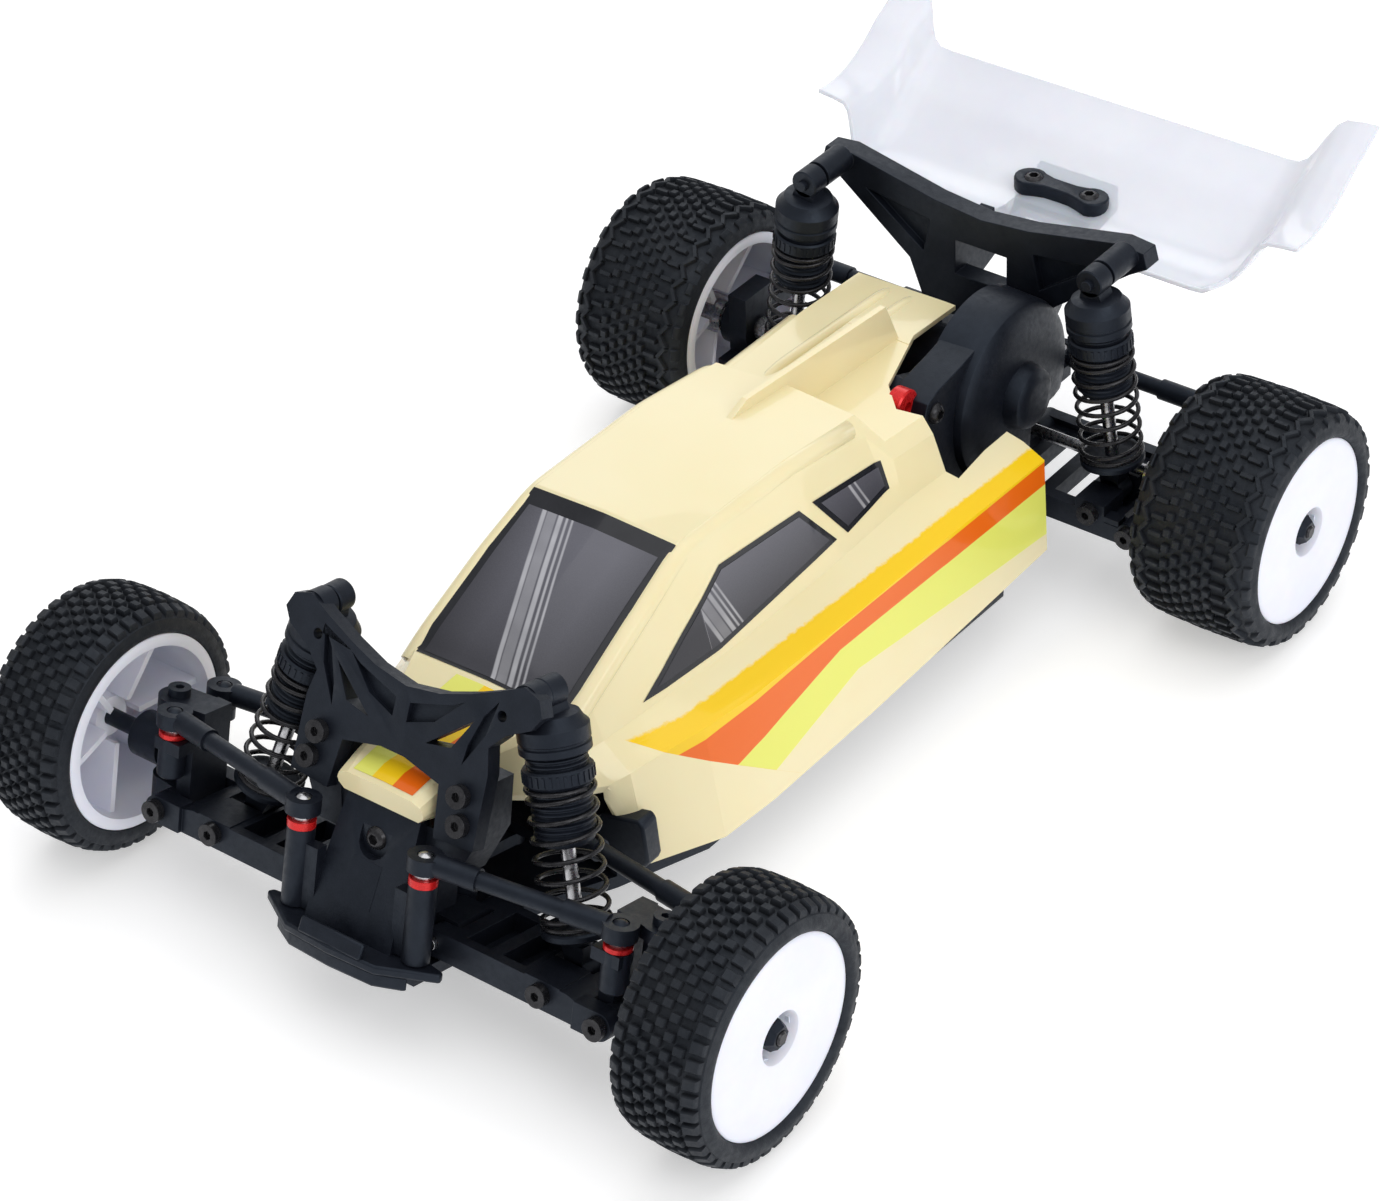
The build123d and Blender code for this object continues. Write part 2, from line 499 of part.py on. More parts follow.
def front_knuckle():
    post = cyl_z(KINGPIN_X, 0, (-4.5, 7.1), 2.9)
    post += cyl_x((KINGPIN_X + 1, 57.0), 0, 0, 4.0) + cyl_x((57.0, 73.2), 0, 0, 1.5)
    x, y, z = TIE_OUT
    post += box((x - 1.8, x + 1.8), (2.2, y), (2.0, 4.0)) + cyl_z(x, y, (2.0, 4.0), 2.2)
    post += cyl_z(x, y, (4.0, z), 1.0) + ball(TIE_OUT, BALL_R)
    return FRONT * (post - cyl_z(KINGPIN_X, 0, (-9, 9), PIN_R + RUN))


def hex_nut(x, across):
    nut = Pos(x[0], 0, 0) * Rot(0, 90, 0) * extrude(RegularPolygon(across / math.sqrt(3), 6), amount=x[1] - x[0])
    return nut + cyl_x((x[0], x[0] + 0.6), 0, 0, across * 0.66)


def front_rim():
    x0, x1 = FRONT_TYRE
    profile = [(x0 + 0.2, 14.9), (x0 + 0.2, 17.4), (x0 + 1.6, 17.4), (x0 + 1.6, RIM_RADIUS), (x1 - 2, RIM_RADIUS),
               (x1 - 1.6, 17.0), (x1 - 0.7, 17.0), (x1 - 0.7, 15.8), (x1 - 1.4, 14.8), (x1 - 1.7, 7.0), (70.2, 4.6),
               (70.2, 1.55), (59.5, 1.55), (59.5, 3.6), (68.6, 3.9), (x1 - 3.2, 8.0), (x1 - 3.0, 14.2)]
    rim = turned_x(profile)
    nut = hex_nut((70.2, 72.6), 4.4) - cyl_x((69, 75), 0, 0, 1.5)
    return Compound(children=[FRONT * rim, FRONT * nut])


def tyre(x0, x1, shoulder):
    seat = RIM_RADIUS + 0.03
    profile = [(x0 + 1.63, seat), (x0 + 1.63, 17.43), (x0 + 0.1, 17.45), (x0, 18.6), (x0 + 0.1, 20.6),
               (x0 + shoulder * 0.5, TYRE_RADIUS - 0.5), (x0 + shoulder, TYRE_RADIUS), (x1 - shoulder, TYRE_RADIUS),
               (x1 - shoulder * 0.5, TYRE_RADIUS - 0.5), (x1 - 0.1, 20.6), (x1, 18.6), (x1 - 0.4, 17.05),
               (x1 - 1.62, 17.03), (x1 - 2.03, seat)]
    return turned_x(profile)


def front_tyre():
    return FRONT * tyre(*FRONT_TYRE, 3.4)


# ---------------------------------------------------------------- rear corner, left side

def rear_arm():
    x0, z = REAR_PIN_IN
    x1 = REAR_PIN_OUT[0]
    arm = prism_z([(x0 + 3, -11.8), (x1 - 3.2, -11.8), (x1 - 3.2, 11.8), (x0 + 3, 11.8)], (z - 2.4, z + 1.0))
    for y0, y1 in ((-11.8, -6.2), (6.2, 11.8)):
        arm += cyl_y(x0, (y0, y1), z, 2.3) + box((x0, x0 + 4), (y0, y1), (z - 2.3, z + 1.0))
    for y0, y1 in ((-11.9, -8.3), (8.3, 11.9)):
        arm += cyl_y(x1, (y0, y1), z, 2.3) + box((x1 - 5, x1), (y0, y1), (z - 2.3, z + 1.0))
    for y0, y1 in ((-11.8, -9.4), (9.4, 11.8)):
        arm += box((x0, x1 - 2), (y0, y1), (z - 2.4, z + 2.2))
    x, y, foot_z = REAR_SHOCK_FOOT
    arm += box((x - 3, x + 3), (-11.8, y - 2.4), (z - 2.4, foot_z + 2.2)) + box(
        (x - 3, x + 3), (y + 2.4, y + 4.6), (z - 2.4, foot_z + 2.2))
    arm -= box((x - 3.8, x + 3.8), (y - 2.4, y + 2.4), (z - 1.2, z + 6))
    for px, half in ((20.5, 2.6), (28.0, 2.2)):
        arm -= box((px - half, px + half), (-8.6, 8.6), (z - 3, z + 4))
    arm -= cyl_y(x0, (-14, 14), z, PIN_R + RUN)
    arm -= cyl_y(x1, (-14, 14), z, PIN_R)
    arm -= cyl_y(x, (-14, y + 4.6), foot_z, PIN_R)
    pins = [hex_screw((x1, -11.9, z), (0, 1, 0), 23.6), hex_screw((x, -11.8, foot_z), (0, 1, 0), 13.0)]
    return Compound(children=[REAR * arm] + [REAR * pin for pin in pins])


def hub_carrier():
    x, z = REAR_PIN_OUT
    block = cyl_y(x, (-8.1, 8.1), z, 2.2) + box((x + 1.6, 49), (-8.1, 8.1), (z - 2.2, z + 1.6))
    block += cyl_x((45.0, 51.0), 0, 0, 4.6) + box((45.0, 49.0), (-4.4, 4.4), (z, 8))
    bx, by, bz = REAR_CAMBER_OUT
    block += box((45.0, 48.4), (2, by + 2), (1.6, 5.0)) + box((bx - 2.2, 46), (by - 2.2, by + 2.2), (2.0, 4.2))
    block += cyl_z(bx, by, (4.2, bz), 1.0) + ball(REAR_CAMBER_OUT, BALL_R)
    block -= cyl_y(x, (-14, 14), z, PIN_R + RUN)
    return REAR * (block - cyl_x((40, 60), 0, 0, 2.0 + RUN))


def rear_rim():
    x0, x1 = REAR_TYRE
    profile = [(x0 + 0.2, 14.9), (x0 + 0.2, 17.4), (x0 + 1.6, 17.4), (x0 + 1.6, RIM_RADIUS), (x1 - 2, RIM_RADIUS),
               (x1 - 1.6, 17.0), (x1 - 0.7, 17.0), (x1 - 0.7, 15.8), (x1 - 1.4, 14.8), (x1 - 1.7, 7.0), (69.8, 4.6),
               (69.8, 2.0), (57, 2.0), (57, 4.2), (67.0, 4.6), (x1 - 3.4, 8.0), (x1 - 3.0, 14.2)]
    rim = turned_x(profile)
    cup = cyl_x((40.3, 44.6), 0, 0, 2.6) - cyl_x((40, 43.9), 0, 0, 1.75)
    axle = cup + cyl_x((44.2, 72.4), 0, 0, 2.0) + cyl_x((52.2, 57), 0, 0, 3.6)
    nut = hex_nut((69.8, 72.2), 4.8) - cyl_x((69, 75), 0, 0, 2.0)
    return Compound(children=[REAR * rim, REAR * axle, REAR * nut])


def rear_tyre():
    return REAR * tyre(*REAR_TYRE, 3.6)


def driveshaft_joint():
    return REAR * (ball((DRIVE_IN, 0, 0), 1.65) - cyl_x((8, 14), 0, 0, 0.8 + RUN))


def driveshaft():
    shaft = cyl_x((DRIVE_IN - 1.6, DRIVE_IN + 2), 0, 0, 0.8) + cyl_x((DRIVE_IN + 1.9, DRIVE_OUT), 0, 0, 1.1)
    return REAR * (shaft + ball((DRIVE_OUT, 0, 0), 1.65))


# ---------------------------------------------------------------- shock absorbers, left side

CAP_R = 5.75
BARREL_R = 4.75
SHAFT_R = 1.2
SPRING_R = 5.35             # to the middle of the wire
WIRE_R = 0.42


class Shock:
    """One shock absorber along a line from its top eye to its foot eye."""

    def __init__(self, frame, top, foot, barrel, collar, cup, eye_half):
        self.frame = frame
        self.length = (Vector(*top) - Vector(*foot)).length
        self.plane = Plane(origin=top, x_dir=(0, 1, 0), z_dir=Vector(*foot) - Vector(*top))
        self.barrel, self.collar, self.cup, self.eye_half = barrel, collar, cup, eye_half

    def place(self, shape):
        return self.frame * (self.plane * shape)

    def tube(self, z, r):
        return Pos(0, 0, (z[0] + z[1]) / 2) * Cylinder(r, z[1] - z[0])

    def eye(self, z, half, hole):
        ring = Pos(0, 0, z) * Rot(0, 90, 0) * Cylinder(2.6, 2 * half)
        return ring, Pos(0, 0, z) * Rot(0, 90, 0) * Cylinder(hole, 2 * half + 4)

    def body(self):
        ring, hole = self.eye(0, self.eye_half, PIN_R + RUN)
        solid = ring + Pos(0, 0, 2.2) * Box(2 * self.eye_half, 4.4, 3.2) + self.tube((3.2, 4.4), 4.4)
        solid += self.tube((4.4, 9.4), CAP_R) + self.tube((9.4, self.barrel), BARREL_R)
        solid += self.tube((self.collar - 2.6, self.collar), 5.6)
        return self.place(solid - hole - self.tube((10.5, self.barrel + 1), SHAFT_R + RUN))

    def shaft(self):
        ring, hole = self.eye(self.length, 1.9, PIN_R + 0.3)
        solid = ring + Pos(0, 0, self.length - 2.6) * Box(3.6, 4.0, 3.0) + self.tube((self.barrel - 5, self.length - 2), SHAFT_R)
        solid += self.tube((self.cup, self.cup + 1.6), 5.6) + self.tube((self.cup + 1.6, self.cup + 3.0), 2.4)
        return self.place(solid - hole)

    def spring(self):
        low, high = self.collar + WIRE_R + 0.05, self.cup - WIRE_R - 0.05
        path = Pos(0, 0, low) * Helix(pitch=(high - low) / 7, height=high - low, radius=SPRING_R)
        section = Plane(origin=path @ 0, z_dir=path % 0) * Circle(WIRE_R)
        return self.place(sweep(section, path=path, is_frenet=True))


FRONT_SHOCK = Shock(FRONT, FRONT_SHOCK_TOP, FRONT_SHOCK_FOOT, 24.0, 14.5, 37.6, 1.9)
REAR_SHOCK = Shock(REAR, REAR_SHOCK_TOP, REAR_SHOCK_FOOT, 21.5, 13.5, 34.6, 2.0)


# ---------------------------------------------------------------- fasteners fixed to the chassis

def chassis_fasteners():
    pieces = []
    for side in (1, -1):
        x, y, z = FRONT_CAMBER_IN
        x *= side
        pieces.append(FRONT * cyl_y(side * ARM_PIN_IN[0], (-8.4, 9.0), ARM_PIN_IN[1], PIN_R))
        pieces.append(FRONT * (cyl_z(x, y, (5.0, 6.4), 2.35)))
        pieces.append(FRONT * (cyl_z(x, y, (6.4, 7.0), 1.7) + cyl_z(x, y, (6.9, z), 1.1) + ball((x, y, z), BALL_R)))
        for sx, sz in TOWER_SCREWS:
            pieces.append(FRONT * (TOWER * hex_screw((side * sx, 0, sz), (0, 1, 0), 3.0)))
        pieces.append(REAR * cyl_y(side * REAR_PIN_IN[0], (-12.4, 12.4), REAR_PIN_IN[1], PIN_R))
        rx, ry, rz = REAR_CAMBER_IN
        pieces.append(REAR * (cyl_z(side * rx, ry, (5.2, rz), 1.1) + ball((side * rx, ry, rz), BALL_R)))
        pieces.append(FRONT * cyl_z(side * SAVER_PIVOT[0], SAVER_PIVOT[1], (-10.6, 2.8), 1.5))
    pieces.append(REAR * (cyl_x((5.2, 6.2), -31.3, 20.6, 2.9)))
    return Compound(children=[solid for piece in pieces for solid in piece.solids()])


def nodes():
    """Every node by name, in millimetres, before the shift to the row's origin."""
    made = {
        "chassis_tub": chassis_tub(),
        "front_bulkhead": front_bulkhead(),
        "front_bumper": front_bumper(),
        "front_shock_tower": front_shock_tower(),
        "gearbox_case": gearbox_case(),
        "gear_cover": gear_cover(),
        "rear_shock_tower": rear_shock_tower(),
        "wing": wing(),
        "wing_clamp": wing_clamp(),
        "body_shell": body_shell(),
        "battery": battery(),
        "servo_and_receiver": servo_and_receiver(),
        "motor": motor(),
        "chassis_fasteners": chassis_fasteners(),
        "servo_saver": servo_saver(),
        "idler_arm": idler_arm(),
        "steering_link": steering_link(),
        "differential": differential(),
        "spur_gear": spur_gear(),
        "motor_pinion": motor_pinion(),
    }
    corner = {
        "front_arm": front_arm(),
        "front_caster_block": front_caster(),
        "front_knuckle": front_knuckle(),
        "front_rim": front_rim(),
        "front_tyre": front_tyre(),
        "front_camber_link": FRONT * ball_link(FRONT_CAMBER_IN, FRONT_CAMBER_OUT, (0, 0, 1)),
        "front_tie_rod": FRONT * ball_link(TIE_IN, TIE_OUT, (0, 0, 1)),
        "front_shock_body": FRONT_SHOCK.body(),
        "front_shock_shaft": FRONT_SHOCK.shaft(),
        "front_spring": FRONT_SHOCK.spring(),
        "rear_arm": rear_arm(),
        "rear_hub_carrier": hub_carrier(),
        "rear_rim": rear_rim(),
        "rear_tyre": rear_tyre(),
        "rear_driveshaft_joint": driveshaft_joint(),
        "rear_driveshaft": driveshaft(),
        "rear_camber_link": REAR * ball_link(REAR_CAMBER_IN, REAR_CAMBER_OUT, (0, 0, 1)),
        "rear_shock_body": REAR_SHOCK.body(),
        "rear_shock_shaft": REAR_SHOCK.shaft(),
        "rear_spring": REAR_SHOCK.spring(),
    }
    for name, shape in corner.items():
        made[name + "_left"] = shape
        made[name + "_right"] = mirrored(shape)
    return made


def main():
    os.makedirs("parts", exist_ok=True)
    for name, shape in nodes().items():
        solids = [Pos(0, -CENTRE_Y, 0) * solid for solid in shape.solids()]
        whole = solids[0] if len(solids) == 1 else Compound(children=solids)
        export_step(whole, os.path.join("parts", name + ".step"))


if __name__ == "__main__":
    main()
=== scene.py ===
import json
import math
import random

import bmesh
import bpy
from mathutils import Matrix, Vector
from mathutils.bvhtree import BVHTree

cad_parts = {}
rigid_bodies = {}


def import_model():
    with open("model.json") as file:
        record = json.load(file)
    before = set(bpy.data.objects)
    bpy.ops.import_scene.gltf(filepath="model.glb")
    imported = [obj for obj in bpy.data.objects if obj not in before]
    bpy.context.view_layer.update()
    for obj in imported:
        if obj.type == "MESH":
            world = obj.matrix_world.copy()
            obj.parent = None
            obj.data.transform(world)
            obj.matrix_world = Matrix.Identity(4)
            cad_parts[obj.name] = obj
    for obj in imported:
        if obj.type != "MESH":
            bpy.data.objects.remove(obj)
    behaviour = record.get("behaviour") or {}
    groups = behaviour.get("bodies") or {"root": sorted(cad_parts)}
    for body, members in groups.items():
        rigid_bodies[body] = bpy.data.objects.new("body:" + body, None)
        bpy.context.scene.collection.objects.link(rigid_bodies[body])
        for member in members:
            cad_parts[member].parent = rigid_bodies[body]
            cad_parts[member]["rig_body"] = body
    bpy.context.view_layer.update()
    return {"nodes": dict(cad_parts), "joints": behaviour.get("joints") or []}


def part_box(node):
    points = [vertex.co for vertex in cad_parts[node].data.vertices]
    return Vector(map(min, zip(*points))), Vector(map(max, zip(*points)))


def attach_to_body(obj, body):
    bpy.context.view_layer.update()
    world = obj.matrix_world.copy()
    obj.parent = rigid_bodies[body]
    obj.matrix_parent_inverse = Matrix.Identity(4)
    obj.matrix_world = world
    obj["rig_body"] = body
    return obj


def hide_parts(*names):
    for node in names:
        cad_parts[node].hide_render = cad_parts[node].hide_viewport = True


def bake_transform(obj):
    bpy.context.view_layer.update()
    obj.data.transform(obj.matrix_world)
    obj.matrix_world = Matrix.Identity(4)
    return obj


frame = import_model()

MM = 0.001
JOINTS = {joint["name"]: joint for joint in frame["joints"]}
NODES = frame["nodes"]
SIDES = (("left", 1), ("right", -1))
FRONT_HUB = Vector(JOINTS["front_wheel_spin_left"]["pos_m"])
REAR_HUB = Vector(JOINTS["rear_wheel_spin_left"]["pos_m"])
HUBS = {"front": FRONT_HUB, "rear": REAR_HUB}
MID_Y = (FRONT_HUB.y + REAR_HUB.y) / 2       # midway between the axles
KICK_UP = math.radians(15)
UPRIGHT = Matrix.Rotation(math.radians(-90), 4, "Y")         # turns a lathe's x axis to z
FACING_FRONT = Matrix.Rotation(math.radians(-90), 4, "Z")    # turns a lathe's x axis to -y

TOWER_LEAN = math.radians(10.1)      # the front tower's face leans back from the bulkhead
TOWER_AT = (0, -7.3, 16.5)           # its foot, in the nose's frame
TOP_SHAFT = (-8.0, 12.8)             # y, z of the spur gear's shaft and of the motor's, in the rear frame
MOTOR = (-23.4, 4.3)
FROM_MIDDLE = Matrix.Translation((0, MID_Y, 0))
SHOCKS = {                           # distances down the shock from its top eye
    "front": {"barrel": 24.0, "collar": 14.5, "cup": 37.6, "foot": 45.4},
    "rear": {"barrel": 21.5, "collar": 13.5, "cup": 34.6, "foot": 41.8},
}
CAMERA_AT = (347.7, -432.2, 437.7)
CAMERA_TURN = (39.02, 36.63, -3.01)  # azimuth, elevation and roll in degrees
LENS = 106.4
SENSOR = 36.0
MERGE = 2e-6                         # doubled vertices of a CAD mesh are closer than this
random.seed(7)


def at(x, y, z):
    """A point in millimetres, with y measured from midway between the axles."""
    return Vector((x * MM, MID_Y + y * MM, z * MM))


def shift(x, y, z):
    """A move by some millimetres."""
    return Matrix.Translation(Vector((x, y, z)) * MM)


def front_frame():
    """The nose's own frame: the front hubs' line, tilted back by the kick-up."""
    return Matrix.Translation((0, FRONT_HUB.y, FRONT_HUB.z)) @ Matrix.Rotation(-KICK_UP, 4, "X")


def rear_frame():
    return Matrix.Translation((0, REAR_HUB.y, REAR_HUB.z))


# ---- materials

class Shader:
    """A material with one Principled shader, and short calls for its nodes."""

    def __init__(self, name, color, roughness, **sockets):
        self.material = bpy.data.materials.new(name)
        self.material.use_nodes = True
        self.tree = self.material.node_tree
        self.bsdf = self.tree.nodes["Principled BSDF"]
        self.bsdf.inputs["Base Color"].default_value = (*color, 1)
        self.bsdf.inputs["Roughness"].default_value = roughness
        for socket, value in sockets.items():
            self.bsdf.inputs[socket.replace("_", " ")].default_value = value
        self.coordinates = self.node("ShaderNodeTexCoord").outputs["Object"]

    def node(self, kind, **settings):
        made = self.tree.nodes.new(kind)
        for key, value in settings.items():
            setattr(made, key, value)
        return made

    def link(self, source, target):
        self.tree.links.new(source, target)

    def noise(self, scale, detail=4.0, roughness=0.6):
        made = self.node("ShaderNodeTexNoise")
        made.inputs["Scale"].default_value = scale
        made.inputs["Detail"].default_value = detail
        made.inputs["Roughness"].default_value = roughness
        self.link(self.coordinates, made.inputs["Vector"])
        return made.outputs["Fac"]

    def math(self, operation, a, b=None):
        made = self.node("ShaderNodeMath", operation=operation)
        for index, value in enumerate((a, b)):
            if value is None:
                continue
            if isinstance(value, (int, float)):
                made.inputs[index].default_value = value
            else:
                self.link(value, made.inputs[index])
        return made.outputs[0]

    def ramp(self, value, low, high, out_low, out_high):
        made = self.node("ShaderNodeMapRange")
        self.link(value, made.inputs["Value"])
        for key, number in (("From Min", low), ("From Max", high), ("To Min", out_low), ("To Max", out_high)):
            made.inputs[key].default_value = number
        return made.outputs["Result"]

    def mix(self, factor, a, b):
        made = self.node("ShaderNodeMix", data_type="RGBA")
        self.link(factor, made.inputs[0])
        for index, value in ((6, a), (7, b)):
            if isinstance(value, tuple):
                made.inputs[index].default_value = (*value, 1)
            else:
                self.link(value, made.inputs[index])
        return made.outputs[2]

    def place(self):
        """The point's x, its y from midway between the axles, and its z, in millimetres."""
        split = self.node("ShaderNodeSeparateXYZ")
        self.link(self.coordinates, split.inputs[0])
        y = self.math("MULTIPLY", self.math("SUBTRACT", split.outputs[1], MID_Y), 1000.0)
        x, z = (self.math("MULTIPLY", split.outputs[k], 1000.0) for k in (0, 2))
        return x, y, z

    def color(self, source):
        self.link(source, self.bsdf.inputs["Base Color"])

    def vary(self, color_a, color_b, scale):
        self.color(self.mix(self.ramp(self.noise(scale), 0.35, 0.65, 0, 1), color_a, color_b))

    def rough(self, low, high, scale):
        self.link(self.ramp(self.noise(scale), 0.3, 0.7, low, high), self.bsdf.inputs["Roughness"])

    def bump(self, height, strength, distance):
        made = self.node("ShaderNodeBump")
        made.inputs["Strength"].default_value = strength
        made.inputs["Distance"].default_value = distance
        self.link(height, made.inputs["Height"])
        self.link(made.outputs["Normal"], self.bsdf.inputs["Normal"])


def plain_material(name, color, roughness, vary=None, rough=None, grain=None, **sockets):
    """One slightly uneven colour: vary is two colours and a noise scale, rough two values and a scale."""
    s = Shader(name, color, roughness, **sockets)
    if vary:
        s.vary(*vary)
    if rough:
        s.rough(*rough)
    if grain:
        scale, detail, strength, distance = grain
        s.bump(s.noise(scale, detail), strength, distance)
    return s.material


# Paint colours of the shell, linear.
CREAM = (0.855, 0.745, 0.445)
YELLOW = (0.93, 0.60, 0.012)
ORANGE = (0.84, 0.145, 0.006)
LIME = (0.79, 0.80, 0.15)
BLACK_PAINT = (0.012, 0.013, 0.018)


def shell_paint():
    """Cream body paint with a yellow, an orange and a lime band along each side pod."""
    s = Shader("shell_paint", CREAM, 0.22, Coat_Weight=0.4, Coat_Roughness=0.03, Specular_IOR_Level=0.2,
               Subsurface_Weight=0.08, Subsurface_Scale=0.003)
    x, along, height = s.place()
    side = s.math("ABSOLUTE", x)
    wobble = s.ramp(s.noise(900, 3), 0.3, 0.7, -0.22, 0.22)

    def level(y0, z0, y1, z1, y2, z2):
        first = s.ramp(along, y0, y1, z0, z1)
        return s.math("ADD", first, s.ramp(along, y1, y2, 0.0, z2 - z1))

    def below(limit, soft=0.05):
        return s.ramp(s.math("SUBTRACT", limit, height), -soft, soft, 0.0, 1.0)

    crease = s.math("ADD", s.ramp(along, -50.0, -36.0, 24.4, 28.0), s.ramp(along, -36.0, 57.0, 0.0, 3.6))
    in_pod = s.ramp(s.math("SUBTRACT", side, crease), -5.2, -5.0, 0.0, 1.0)
    drop = s.math("MULTIPLY", s.math("SUBTRACT", 34.0, height), 1.382)
    fold = s.math("SUBTRACT", s.math("ADD", along, 45.0), drop)
    zone = s.math("MULTIPLY", in_pod, s.ramp(fold, -0.05, 0.05, 0.0, 1.0))
    ragged = s.math("ADD", s.math("SUBTRACT", side, crease), wobble)
    base = s.mix(s.ramp(s.noise(35, 2), 0.35, 0.7, 0.0, 1.0), CREAM, (0.87, 0.77, 0.49))
    airbrush = s.math("SUBTRACT", ragged, s.ramp(along, -40.0, 57.0, -3.7, -2.9))
    yellow_in = s.ramp(airbrush, -0.25, 0.25, 0.0, 1.0)
    yellow = s.mix(s.math("MULTIPLY", yellow_in, zone), base, YELLOW)
    orange_top = level(-43.0, 31.4, -3.0, 32.7, 57.0, 33.0)
    orange_low = level(-30.0, 23.4, -2.0, 28.9, 57.0, 28.4)
    lime_low = level(-22.0, 17.2, 2.0, 22.8, 57.0, 18.0)
    paint = s.mix(s.math("MULTIPLY", zone, below(orange_top)), yellow, ORANGE)
    paint = s.mix(s.math("MULTIPLY", zone, below(orange_low)), paint, LIME)
    paint = s.mix(s.math("MULTIPLY", zone, below(lime_low)), paint, base)
    s.color(paint)
    s.rough(0.16, 0.26, 120)
    s.bump(s.noise(420, 2), 0.02, 0.0002)
    return s.material


def window_with_painted_glare():
    """A dark window sticker, grainy grey, with painted light on it: a painted reflection that is darkest at its
    foot and lighter high up, and pale slanting streaks of painted glare.
    """
    s = Shader("window_sticker_and_painted_glare", (0.06, 0.06, 0.075), 0.2, Coat_Weight=0.25, Coat_Roughness=0.04,
               Specular_IOR_Level=0.25)
    x, y, z = s.place()
    front = s.ramp(y, -24.4, -24.0, 1.0, 0.0)
    beside = s.math("SUBTRACT", 1.0, front)
    screen_lean = s.math("ADD", x, s.math("MULTIPLY", s.math("ADD", y, 40.0), 0.38))
    side_lean = s.math("ADD", y, s.math("MULTIPLY", z, 0.42))
    lean = s.math("ADD", s.math("MULTIPLY", screen_lean, front), s.math("MULTIPLY", side_lean, beside))
    # painted reflection: the windshield is lighter high up and towards its middle, the side windows lighter
    # high up, and both darkest at the foot
    towards_middle = s.ramp(s.math("ABSOLUTE", x), 7.0, 14.5, 1.0, 0.45)
    screen_light = s.math("MULTIPLY", s.ramp(z, 43.0, 55.0, 0.25, 1.0), towards_middle)
    rise = s.mix(front, s.ramp(z, 37.0, 50.0, 0.05, 0.9), screen_light)
    ground = s.mix(rise, (0.013, 0.013, 0.018), (0.125, 0.125, 0.150))
    streaks = None
    # painted glare: pale slanting streaks of reflected light across the windows
    glare = ((-5.0, 0.3), (-3.4, 0.85), (-1.6, 0.35), (-0.3, 0.1), (0.8, 0.08), (36.6, 0.2), (38.0, 0.1))
    for centre, half in glare:
        distance = s.math("ABSOLUTE", s.math("SUBTRACT", lean, centre))
        band = s.ramp(distance, half, half + 0.25, 0.20 if half > 0.4 else 0.42, 0.0)
        streaks = band if streaks is None else s.math("MAXIMUM", streaks, band)
    streaks = s.math("MULTIPLY", streaks, s.ramp(s.noise(90, 2), 0.3, 0.6, 0.5, 1.0))
    grain = s.mix(s.ramp(s.noise(6000, 2), 0.4, 0.6, 0.0, 1.0), ground, (0.16, 0.16, 0.19))
    shaded = s.mix(s.math("MULTIPLY", rise, 0.22), ground, grain)
    s.color(s.mix(streaks, shaded, (0.95, 0.95, 1.0)))
    return s.material


def patch_paint():
    """The three small squares of colour on the nose."""
    s = Shader("nose_patch", YELLOW, 0.22, Coat_Weight=0.4, Coat_Roughness=0.04, Specular_IOR_Level=0.2)
    x, y, _ = s.place()
    drift = s.math("SUBTRACT", x, s.ramp(y, -78.0, -67.0, 0.0, 2.6))
    first = s.mix(s.ramp(drift, -2.25, -2.15, 0.0, 1.0), LIME, YELLOW)
    s.color(s.mix(s.ramp(drift, 1.9, 2.0, 0.0, 1.0), first, ORANGE))
    s.rough(0.18, 0.26, 300)
    return s.material


